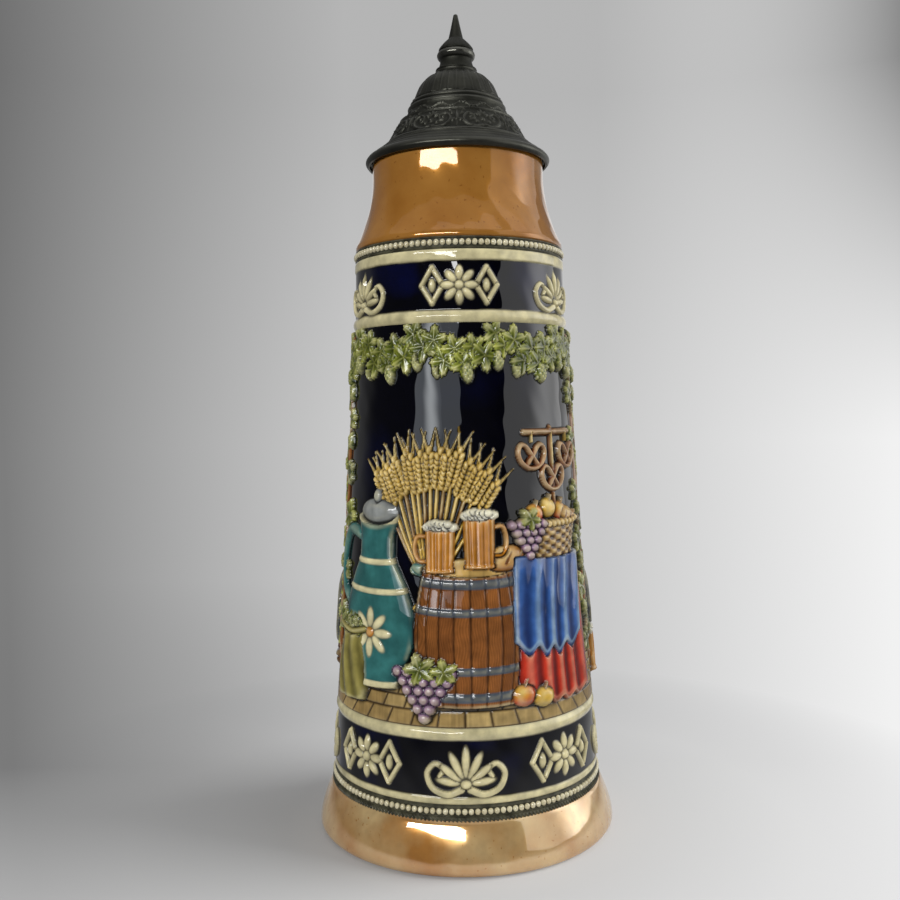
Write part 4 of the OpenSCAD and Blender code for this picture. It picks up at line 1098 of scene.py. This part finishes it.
def drawFrieze(fillet, field, ring, meanR, groups, seed):  # cream ornament on cobalt, between cream borders
    fillet, field, ring = ([wall[edge] for edge in band] for band in (fillet, field, ring))
    cv = newCanvas(min(fillet[0], ring[0]), max(fillet[1], ring[1]), meanR, friezeGlaze["step"])
    z = cv["z"]
    within = np.minimum(z - field[0], field[1] - z) + 0.5 * (cloudField(cv, 5.0, seed) - 0.5)
    cover = np.clip(0.5 + within / 0.5, 0, 1)
    thin = np.clip(cloudField(cv, 11.0, seed + 20) * 2.4 - 1.5, 0, 1)
    cv["c"] = blendPaint(cv["c"], blendPaint("ground", "groundThin", thin), cover)
    cv["c"] *= 1 - 0.5 * np.exp(-(within / 0.5) ** 2)[..., None]
    swell = np.sin(np.clip((z - ring[0]) / (ring[1] - ring[0]), 0, 1) * math.pi)
    cv["h"] += wall["ringProud"] * swell + 0.5 * rounded(np.minimum(z - fillet[0], fillet[1] - z) / 1.2)
    middle, tall = (field[0] + field[1]) / 2, field[1] - field[0]
    for g in range(groups):
        x = (g - groups // 2) * tau * meanR / groups
        for side in (-1, 1):
            if g % 2:
                lozenge(cv, x + side * tall * 0.56, middle, tall * 0.36)
            else:
                volute(cv, x, middle - tall * 0.26, tall * 0.55, side)
        if g % 2:
            rosette(cv, x, middle, tall * 0.40)
        else:
            palmette(cv, x, middle - tall * 0.28, tall * 0.68)
    halo = np.clip(blur((cv["h"] > 0.9).astype(float), 4) * 1.4, 0, 1) * cover * (cv["h"] < 0.2)
    cv["c"] = blendPaint(cv["c"], "groundThin", 0.35 * halo)
    glazeMarksAndShade(cv, friezeGlaze["wash"], friezeGlaze["bare"])
    return cv


def unevenness(cv, deep=0.035):
    up = (np.arange(cv["rows"]) * cv["stepZ"])[:, None]
    edges = np.clip(np.minimum(up, up[-1] - up) / 3, 0, 1)
    return deep * edges * swells(np.arange(cv["cols"]) * tau / cv["cols"], up)


def skin(name, cv, parts, under=1.5):  # the canvas as a mesh on the wall, in equal parts round it
    angle, z = cv["x"] / cv["meanR"], cv["z"]
    points = revolve(wallR(z) + cv["h"] + unevenness(cv), z, angle)
    normals = gridNormals(points)
    low, high = (revolve(wallR(edge) - under, edge, angle) for edge in (z[:1], z[-1:]))  # turned in
    points = np.concatenate([low, points, high])
    colours = np.concatenate([cv["c"], np.ones_like(cv["c"][..., :1])], -1)
    normals, colours = (np.concatenate([field[:1], field, field[-1:]]) for field in (normals, colours))
    wide = cv["cols"] // parts
    for part in range(parts):
        col = np.arange(part * wide, (part + 1) * wide + 1) % cv["cols"]
        mesh = gridMesh(name, points[:, col])
        layer = mesh.color_attributes.new("paint", "FLOAT_COLOR", "POINT")
        layer.data.foreach_set("color", colours[:, col].reshape(-1).astype(np.float32))
        mesh.normals_split_custom_set_from_vertices(normals[:, col].reshape(-1, 3).tolist())
        placeStone(f"{name}{part + 1}" if parts > 1 else name, mesh, pictureGlaze)


skin("picturePanel", drawPanel(), 4)
for friezeName, friezeSizes in friezes.items():
    skin(friezeName, drawFrieze(**friezeSizes), 1)
print("picture panel and friezes built")


# Bead rows, from a tree that sets one shape round a ring

def makeRingTree():
    tree = bpy.data.node_groups.new("beadRing", "GeometryNodeTree")
    for label, kind in (("Count", "Int"), ("Radius", "Float"), ("Height", "Float"),
                        ("Size", "Vector"), ("Lean", "Float"), ("Material", "Material")):
        tree.interface.new_socket(label, in_out="INPUT", socket_type="NodeSocket" + kind)
    tree.interface.new_socket("Geometry", in_out="OUTPUT", socket_type="NodeSocketGeometry")
    row = addNode(tree, "NodeGroupInput").outputs
    circle = addNode(tree, "GeometryNodeMeshCircle", {"Vertices": row["Count"], "Radius": row["Radius"]})
    rise = addNode(tree, "ShaderNodeCombineXYZ", {"Z": row["Height"]})
    ring = addNode(tree, "GeometryNodeTransform", {"Geometry": circle, "Translation": rise})
    bead = addNode(tree, "GeometryNodeMeshUVSphere", {"Segments": 10, "Rings": 7, "Radius": 1.0})
    smooth = addNode(tree, "GeometryNodeSetShadeSmooth", {"Geometry": bead})
    spot = addNode(tree, "GeometryNodeInputPosition")
    face = addNode(tree, "FunctionNodeAlignRotationToVector", {"Vector": spot}, axis="X", pivot_axis="Z")
    tip = addNode(tree, "ShaderNodeCombineXYZ", {"X": row["Lean"]})
    tilt = addNode(tree, "FunctionNodeEulerToRotation", {"Euler": tip})
    both = addNode(tree, "FunctionNodeRotateRotation", {"Rotation": face, "Rotate By": tilt},
                   rotation_space="LOCAL")
    beads = addNode(tree, "GeometryNodeInstanceOnPoints",
                    {"Points": ring, "Instance": smooth, "Rotation": both, "Scale": row["Size"]})
    solid = addNode(tree, "GeometryNodeRealizeInstances", {"Geometry": beads})
    coat = addNode(tree, "GeometryNodeSetMaterial", {"Geometry": solid, "Material": row["Material"]})
    addNode(tree, "NodeGroupOutput", {"Geometry": coat})
    return tree


ringTree = makeRingTree()
beadRows = {  # millimetres; size is proud, wide and tall as half lengths, lean in degrees
    "upperBeads": {"count": 110, "radius": 55.9, "height": 308.4, "size": (1.35, 1.5, 1.66), "lean": 0,
                   "material": beadCream},
    "lowerBeads": {"count": 143, "radius": 72.2, "height": 30.0, "size": (1.35, 1.44, 1.60), "lean": 0,
                   "material": beadCream},
    "ropeEdge": {"count": 230, "radius": 72.9, "height": 26.2, "size": (0.85, 0.62, 1.5), "lean": 38,
                 "material": channelGlaze},
}


def addBeadRow(name, count, radius, height, size, lean, material):
    maker = addObject(name + "Maker", bpy.data.meshes.new(name + "Maker"))
    modifier = maker.modifiers.new("ring", "NODES")
    modifier.node_group = ringTree
    values = {"Count": count, "Radius": radius * mm, "Height": height * mm, "Size": [v * mm for v in size],
              "Lean": math.radians(lean), "Material": material}
    for item in ringTree.interface.items_tree:
        if item.in_out == "INPUT":
            modifier[item.identifier] = values[item.name]
    mesh = settled(maker)
    mesh.name = name
    placeStone(name, mesh, material)


for rowName, rowSizes in beadRows.items():
    addBeadRow(rowName, **rowSizes)


def ridge(r, z, tall, proud, steps=6):  # half-round line
    t = np.linspace(0, 1, steps + 1)
    return np.stack([r + proud * np.sin(np.pi * t), z + tall * t], 1)


channels = {  # profiles behind the beads, from the bottom up
    "lowerChannel": [[[71.5, 24.2], [73.8, 24.6]], ridge(72.7, 25.0, 2.4, 0.3), ridge(72.2, 27.6, 0.8, 0.45),
                     [[71.9, 28.6], [71.8, 31.4]], ridge(71.9, 31.6, 0.8, 0.45),
                     [[71.7, 32.6], [71.8, 33.3], [70.4, 33.8]]],
    "upperChannel": [[[54.6, 304.8], [55.9, 305.1]], ridge(55.9, 305.3, 0.9, 0.5),
                     [[55.6, 306.4], [55.6, 310.3]], ridge(55.8, 310.4, 0.8, 0.4),
                     [[55.7, 311.4], [54.4, 311.6]]],
}
for channelName, channelLines in channels.items():
    placeStone(channelName, lathe(channelName + "Mesh", np.concatenate(channelLines)), channelGlaze)
print("bead rows:", len(beadRows))

# Lid: an outline in zones, some with their own cast ornament; corners as radius and height above the seat

lid = {
    "seat": 357.514, "thick": 2.2, "holeR": 3.45, "columns": 720, "finest": 0.26,
    "rimLow": (48.7, 0.0), "rim": (48.7, 4.2), "flangeTop": (38.9, 10.8), "scrollFoot": (38.0, 12.2),
    "scrollTop": (31.2, 24.1), "leafFoot": (28.9, 24.1), "leafTop": (26.4, 29.8), "crownFoot": (23.6, 35.1),
    "crownTop": (11.0, 51.5),
    "rimProud": 1.2, "stepProud": 0.4, "scrollSwell": 0.5, "mouldProud": 0.9,
    "flangeRings": ((0.30, 0.35), (0.62, 0.45), (0.88, 0.5)), "ringWide": 0.05, "flangeSag": 0.35,
    "scrollRepeats": 8, "leafRepeats": 15, "crownLeaves": 16,
}


def swelled(start, end, proud, steps=14, power=1.0):  # half-round moulding on a line
    t = np.linspace(0, 1, steps + 1)[:, None]
    start, end = np.array(start), np.array(end)
    return start + (end - start) * t + np.concatenate([proud * np.sin(np.pi * t).clip(0) ** power, 0 * t], 1)


def ornamentZone(line, draw=None, sink=0.0):  # the zone's outline at even steps, and the heights drawn on it
    line = np.asarray(line, float)
    if draw is None:
        return line, np.zeros((len(line), lid["columns"]))
    along = np.concatenate([[0], np.cumsum(np.hypot(*np.diff(line, axis=0).T))])
    meanR = line[:, 0].mean()
    step = tau * meanR / lid["columns"]
    far = np.linspace(0, along[-1], round(along[-1] / max(step, lid["finest"])) + 1)
    cv = newCanvas(0, along[-1], meanR, step)
    draw(cv)
    cv["h"] = blur(cv["h"], 1)  # soft, as cast
    pick = np.round(far / cv["stepZ"]).astype(int).clip(0, cv["rows"] - 1)
    ground = sink * np.clip(np.minimum(far, along[-1] - far) / 0.8, 0, 1)[:, None]  # sunk between the edges
    return np.stack([np.interp(far, along, line[:, k]) for k in (0, 1)], 1), cv["h"][pick] - ground


def drawScrolls(cv):  # paired scrolls and a palmette, with a leaf between the pairs
    cv["h"] += 0.16 * (cloudField(cv, 0.8, 31) - 0.5)
    wide, tall = cv["around"] / lid["scrollRepeats"], cv["high"]
    spiral = ((.03, .12), (.16, .07), (.32, .20), (.375, .48),
              (.28, .72), (.165, .60), (.175, .40), (.245, .39))
    for i in range(lid["scrollRepeats"]):
        x = (i - lid["scrollRepeats"] / 2 + 0.5) * wide
        for s in (-1, 1):
            stroke(cv, curveThrough(spread(x, 0, s * wide, tall, spiral)), 2.1, 1.0, "cream", taper=0.6)
            ball(cv, x + s * wide * 0.235, tall * 0.52, 1.0, 1.0, 1.0, "cream")
            for a, b, turn, size in ((.40, .72, -40, 1.5), (.36, .88, -75, 1.4), (.43, .36, 20, 1.4),
                                     (.12, .30, 55, 1.1)):
                ball(cv, x + s * wide * a, tall * b, 0.8, size, 0.85, "cream", turn=-s * turn)
        petals(cv, x, tall * 0.50, 5, -56, 28, tall * 0.36, 0.8, 0.85, 0.5, 1.0, droop=0.07 / 0.36)
        ball(cv, x, tall * 0.40, 1.2, 1.0, 1.1, "cream")
        between = x + wide / 2
        ball(cv, between, tall * 0.52, 1.15, tall * 0.30, 0.95, "cream")
        stem = [(between, tall * up) for up in (0.1, 0.5, 0.92)]
        stroke(cv, curveThrough(stem), 0.7, 1.1, "cream", taper=0.6)


def drawVine(cv):  # wavy stem with a leaf in each bend, between two fine lines
    cv["h"] += 0.10 * (cloudField(cv, 0.8, 33) - 0.5)
    around, tall = cv["around"], cv["high"]
    period = around / lid["leafRepeats"]
    x = np.linspace(-around / 2, around / 2, 8 * lid["leafRepeats"] + 1)
    wave = tall * (0.5 + 0.17 * np.sin(x * tau / period))
    stroke(cv, np.stack([x, wave], 1), 1.1, 0.7, "cream")
    for i in range(lid["leafRepeats"]):
        for s, shift in ((1, 0.75), (-1, 0.25)):
            px, pz = (i + shift) * period - around / 2, tall * (0.5 + 0.08 * s)
            for turn, far, size in ((-62, 1.5, 1.55), (0, 0.9, 1.2), (62, 1.5, 1.55)):
                way = math.radians(turn)
                tipX, tipZ = px + far * math.sin(way) * 0.9, pz + s * far * math.cos(way) * 0.7
                ball(cv, tipX, tipZ, 0.75, size * 0.85, 0.8, "cream", turn=-s * turn)
    for edge in (0.05, 0.95):
        stroke(cv, [(-around / 2, tall * edge), (around / 2, tall * edge)], 0.6, 0.45, "cream")


def drawCrown(cv):  # upright leaves with a rib, and narrow ones behind them
    spot = ((np.arange(cv["cols"]) + 0.5) / cv["cols"] * lid["crownLeaves"])[None, :]
    t = (np.arange(cv["rows"]) / (cv["rows"] - 1))[:, None]
    for shift, top, lift in ((0.5, 0.93, 0.65), (0.0, 0.80, 1.0)):
        u = 2 * ((spot + shift) % 1.0) - 1
        tip = top - 0.30 * np.abs(u) ** 2.2
        inside = np.clip((tip - t) / 0.07, 0, 1) * np.clip((1 - np.abs(u)) / 0.16, 0, 1)
        dome = lift * (0.35 + 0.65 * domeOf(u)) * np.clip(0.45 + 0.55 * (tip - t) / 0.4, 0, 1)
        rib = 0.28 * np.exp(-(u / 0.10) ** 2)
        cv["h"] = np.maximum(cv["h"], inside * (dome + rib * np.clip((tip - t) / 0.2, 0, 1)))


def wearOf(line, way, lift):  # 0 in the hollows to 1 on the ridges
    box = np.ones(13) / 13
    soft = np.stack([np.convolve(np.pad(line[:, k], 6, mode="edge"), box, "valid") for k in (0, 1)], 1)
    proud = ((line - soft) * np.stack([way[:, 1], -way[:, 0]], 1)).sum(1, keepdims=True)
    return np.clip(0.42 + 0.55 * proud + 0.6 * (lift - blur(lift, 5)), 0, 0.74)


def addWear(mesh, wear):
    layer = mesh.attributes.new("wear", "FLOAT", "POINT")
    layer.data.foreach_set("value", wear.reshape(-1).astype(np.float32))


def castSkin(name, zones):
    line, lift = (np.concatenate(part) for part in zip(*zones))
    keep = np.concatenate([[True], np.linalg.norm(np.diff(line, axis=0), axis=1) > 1e-4])
    line, lift = line[keep], lift[keep]
    way = unit(np.gradient(line, axis=0))
    angle = np.arange(lift.shape[1]) * tau / lift.shape[1] + math.pi
    radius, height = line[:, :1] + way[:, 1:] * lift, line[:, 1:] - way[:, :1] * lift + lid["seat"]
    points = revolve(radius, height, angle[None, :])
    mesh = gridMesh(name, points, wrap=True)
    addWear(mesh, wearOf(line, way, lift))
    mesh.normals_split_custom_set_from_vertices(gridNormals(points).reshape(-1, 3).tolist())
    placePewter(name, mesh, castPewter, "lid_dome")


def flangeLine(steps=40):  # sloping flange with turned rings
    t = np.linspace(0, 1, steps + 1)
    start, end = np.array(lid["rim"]), np.array(lid["flangeTop"])
    slope = (end - start) / np.linalg.norm(end - start)
    rings = sum(high * np.exp(-((t - at) / lid["ringWide"]) ** 2) for at, high in lid["flangeRings"])
    sag = -lid["flangeSag"] * np.sin(np.pi * t)
    return start + (end - start) * t[:, None] + np.outer(rings + sag, [slope[1], -slope[0]])


def crownCurve(foot, top, t):
    r = top[0] + (foot[0] - top[0]) * (1 - (t + t ** 4) / 2)
    return np.stack([r, foot[1] + (top[1] - foot[1]) * t], 1)


def buildLid():
    (rimR, rimTall), (flangeR, step) = lid["rim"], lid["flangeTop"]
    (crownR, crownLow), crownTop, thick = lid["crownFoot"], lid["crownTop"][1], lid["thick"]
    leafR, leafLow = lid["leafFoot"]
    mouldMiddle = tuple((low + high) / 2 for low, high in zip(lid["leafTop"], lid["crownFoot"]))
    castSkin("lidSkirt", [
        ornamentZone(swelled(lid["rimLow"], lid["rim"], lid["rimProud"])),
        ornamentZone(flangeLine()),
        ornamentZone(swelled(lid["flangeTop"], lid["scrollFoot"], lid["stepProud"], 6)),
        ornamentZone(swelled(lid["scrollFoot"], lid["scrollTop"], lid["scrollSwell"], 30), drawScrolls, 0.9),
        ornamentZone(np.linspace(lid["scrollTop"], lid["leafFoot"], 6))])
    castSkin("lidCrown", [
        ornamentZone(np.linspace((leafR, leafLow - 0.3), lid["leafFoot"], 3)),
        ornamentZone(np.linspace(lid["leafFoot"], lid["leafTop"], 5), drawVine, 0.4),
        ornamentZone(swelled(lid["leafTop"], mouldMiddle, lid["mouldProud"], 10)),
        ornamentZone(swelled(mouldMiddle, lid["crownFoot"], lid["mouldProud"], 10)),
        ornamentZone(crownCurve(lid["crownFoot"], lid["crownTop"], np.linspace(0, 1, 40)), drawCrown, 1.2)])
    slope = (step - rimTall) / (rimR - flangeR)
    drop = thick * math.hypot(1, slope)
    rimIn = rimR + lid["rimProud"] - thick
    corners = np.array([lid[k] for k in ("leafTop", "leafFoot", "scrollTop", "scrollFoot", "flangeTop")])
    corners += [[-thick, 0], [-thick, 0], [-thick, -thick], [-thick, 0], [-thick, thick * slope - drop]]
    hollow = np.concatenate([
        [lid["crownTop"], [lid["holeR"], crownTop]],
        crownCurve((crownR - thick, crownLow), (lid["holeR"], crownTop - thick), np.linspace(1, 0, 24)),
        corners,
        [[rimIn, rimTall + (rimR - rimIn) * slope - drop], [rimIn, 0], lid["rimLow"]]])
    placePewter("lidInside", lathe("lidInsideMesh", hollow + [0, lid["seat"]], steps=180), pewter, "lid_dome")


finialSizes = {
    "collarTall": 6.2, "collarR": 8.6, "knopTall": 4.8, "knopProud": 1.8, "capTall": 6.8, "capLobes": 14,
    "spireTall": 13.3, "spireR": 4.0, "tipR": 1.3, "tenonR": 3.4, "tenonDrop": 3.4, "tenonEdge": 0.6,
}


def buildFinial(columns=168):
    f = finialSizes
    footR, low = lid["crownTop"][0], lid["seat"] + lid["crownTop"][1]
    collarR, collarTop, spireR, tipR = f["collarR"], f["collarTall"], f["spireR"], f["tipR"]
    base = collarTop + f["knopTall"]
    capTop = base + f["capTall"]
    capR = collarR + f["knopProud"] / 2
    tipZ = capTop + f["spireTall"] - tipR
    t = np.linspace(0, 1, 18)[:, None]
    foot = np.array([[footR - 0.1, 0.0], [footR + 0.25, 0.4], [footR + 0.1, 1.0]])
    collar = np.concatenate([collarR + (footR - collarR) * (1 - t) ** 2, collarTop * t], 1)
    knop = swelled((collarR, collarTop), (collarR, base), f["knopProud"], 18, 0.6)
    cap = np.concatenate([spireR + (capR - spireR) * (1 - t ** 1.3), base + f["capTall"] * t], 1)
    spire = np.linspace((spireR, capTop), (tipR, tipZ), 16)
    spire[:, 0] -= 0.05 * np.sin(np.linspace(0, math.pi, 16))
    tip = arc((0, tipZ), tipR, 0, 86, 8)
    line = np.concatenate([foot, collar[3:], knop[1:], cap, spire[1:], tip[1:]])
    lobes = np.interp(line[:, 1], [base, base + 1.2, base + f["capTall"] * 0.7, capTop], [0, 0.30, 0.22, 0])
    angle = (np.arange(columns) * tau / columns)[None, :]
    radius = line[:, :1] + lobes[:, None] * np.abs(np.cos(angle * f["capLobes"] / 2))
    mesh = gridMesh("finialCast", revolve(radius, line[:, 1:] + low, angle), wrap=True)
    shine = np.interp(line[:, 1], [0, collarTop, collarTop + 1.4, base - 0.6, base, tipZ - 3, tipZ],
                      [.3, .3, 1, 1, .2, .35, .6])
    addWear(mesh, np.repeat(shine, columns))
    placePewter("finialCast", mesh, castPewter, "finial")
    end, edge = low - f["tenonDrop"], f["tenonEdge"]
    tenon = [[0, end], [f["tenonR"] - edge, end], [f["tenonR"], end + edge], [f["tenonR"], low]]
    placePewter("finialTenon", lathe("finialTenonMesh", tenon, steps=48), pewter, "finial")


buildLid()
buildFinial()
print("lid built")

# Handle: rounded bar swept round four bends in the plane x = 0

handleSizes = {
    "wide": 24.0, "thick": 14.0, "round": 5.0, "crown": 0.8, "flare": 4.0, "flareReach": 12.0,
    "hidden": (8.0, 12.0), "sunk": 2.0,  # path inside the wall at the two ends, and how deep the bar ends
    "bends": (((105.4, 216.1), 120.0, 122.4, 110.0, 8), ((72.602, 306.3), 24.0, 110.0, 9.0, 44),
              ((-200.0, 263.124), 300.0, 9.0, -19.0, 60), ((55.29, 175.221), 30.0, -19.0, -96.0, 40)),
}


def handlePath():  # points, outward directions and distances along the path
    points, outward = [], []
    for centre, radius, start, end, steps in handleSizes["bends"]:
        way = arc((0, 0), 1.0, start, end, steps)[1 if points else 0:]
        points.extend(np.array(centre) + radius * way)
        outward.extend(way)
    points = np.array(points)
    along = np.concatenate([[0], np.cumsum(np.linalg.norm(np.diff(points, axis=0), axis=1))])
    return points, np.array(outward), along


def barSection(grow, steps=7):  # across and outwards
    bend = handleSizes["round"]
    x, y = handleSizes["wide"] / 2 - bend, handleSizes["thick"] / 2 - bend
    corners = ((x, y, 0), (-x, y, 90), (-x, -y, 180), (x, -y, 270))
    return np.concatenate([arc((cx, cy), bend + grow, turn, turn + 90, steps) for cx, cy, turn in corners])


def endInWall(rows):  # each line along the bar stops at the same depth in the wall
    proud = np.hypot(rows[..., 0], rows[..., 1]) - outerR(rows[..., 2]) + handleSizes["sunk"]
    for line in range(rows.shape[1]):
        outside = np.nonzero(proud[:, line] > 0)[0]
        for last, step in ((outside[0], -1), (outside[-1], 1)):
            beyond = last + step
            if 0 <= beyond < len(rows):
                share = proud[last, line] / (proud[last, line] - proud[beyond, line])
                rows[beyond::step, line] = rows[last, line] + share * (rows[beyond, line] - rows[last, line])
    return rows


def closeEnds(work):
    bmesh.ops.holes_fill(work, edges=[edge for edge in work.edges if edge.is_boundary])
    bmesh.ops.recalc_face_normals(work, faces=work.faces)


def buildHandle():
    points, outward, along = handlePath()
    first, last = handleSizes["hidden"]
    rows = []
    for point, out, far in zip(points, outward, along):
        near = min(far - first, along[-1] - far - last)
        grow = handleSizes["flare"] * max(0.0, 1 - max(near, 0) / handleSizes["flareReach"]) ** 2
        x, y = barSection(grow).T
        lift = y + handleSizes["crown"] * (1 - (x / (handleSizes["wide"] / 2)) ** 2).clip(0) * np.sign(y)
        rows.append(np.stack([x, point[0] + out[0] * lift, point[1] + out[1] * lift], 1))
    mesh = gridMesh("handleBar", endInWall(np.array(rows)), wrap=True)
    mendMesh(mesh, 1e-6, closeEnds)
    mesh.shade_smooth()
    placeStone("handleBar", mesh, handleLustre, "handle")


buildHandle()
print("handle built")

# Hinge castings: the solids with their edges eased

castings = {  # node, width of its eased edges in millimetres, and body
    "collarBand": ("handle_band", 0.4, "stein"), "hingeShank": ("hinge_shank", 0.5, "stein"),
    "pinCaps": ("pin_caps", 0.35, "stein"), "lidTang": ("lid_tang", 0.5, "lid"),
    "thumbShell": ("thumblift", 0.5, "lid"),
}
easing = {"segments": 2, "fromAngle": 28, "flatAngle": 1.0, "sharpAngle": 32}  # angles in degrees


def joinFlats(work):
    flat = math.radians(easing["flatAngle"])
    bmesh.ops.dissolve_limit(work, angle_limit=flat, verts=work.verts, edges=work.edges)


def easedCopy(name, node, width, body):
    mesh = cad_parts[node].data.copy()
    mesh.name = name
    mendMesh(mesh, 1e-6, joinFlats)
    mesh.materials.clear()
    maker = addObject(name + "Maker", mesh)
    bevel = maker.modifiers.new("ease", "BEVEL")
    bevel.width = width * mm
    bevel.segments = easing["segments"]
    bevel.limit_method = "ANGLE"
    bevel.angle_limit = math.radians(easing["fromAngle"])
    bevel.harden_normals = True
    eased = settled(maker)
    eased.shade_smooth()
    eased.set_sharp_from_angle(angle=math.radians(easing["sharpAngle"]))
    placePewter(name, eased, pewter, node, body)


for castingName, castingValues in castings.items():
    easedCopy(castingName, *castingValues)
print("hinge built")

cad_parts["hinge_pin"].data.materials.clear()
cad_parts["hinge_pin"].data.materials.append(pinSteel)
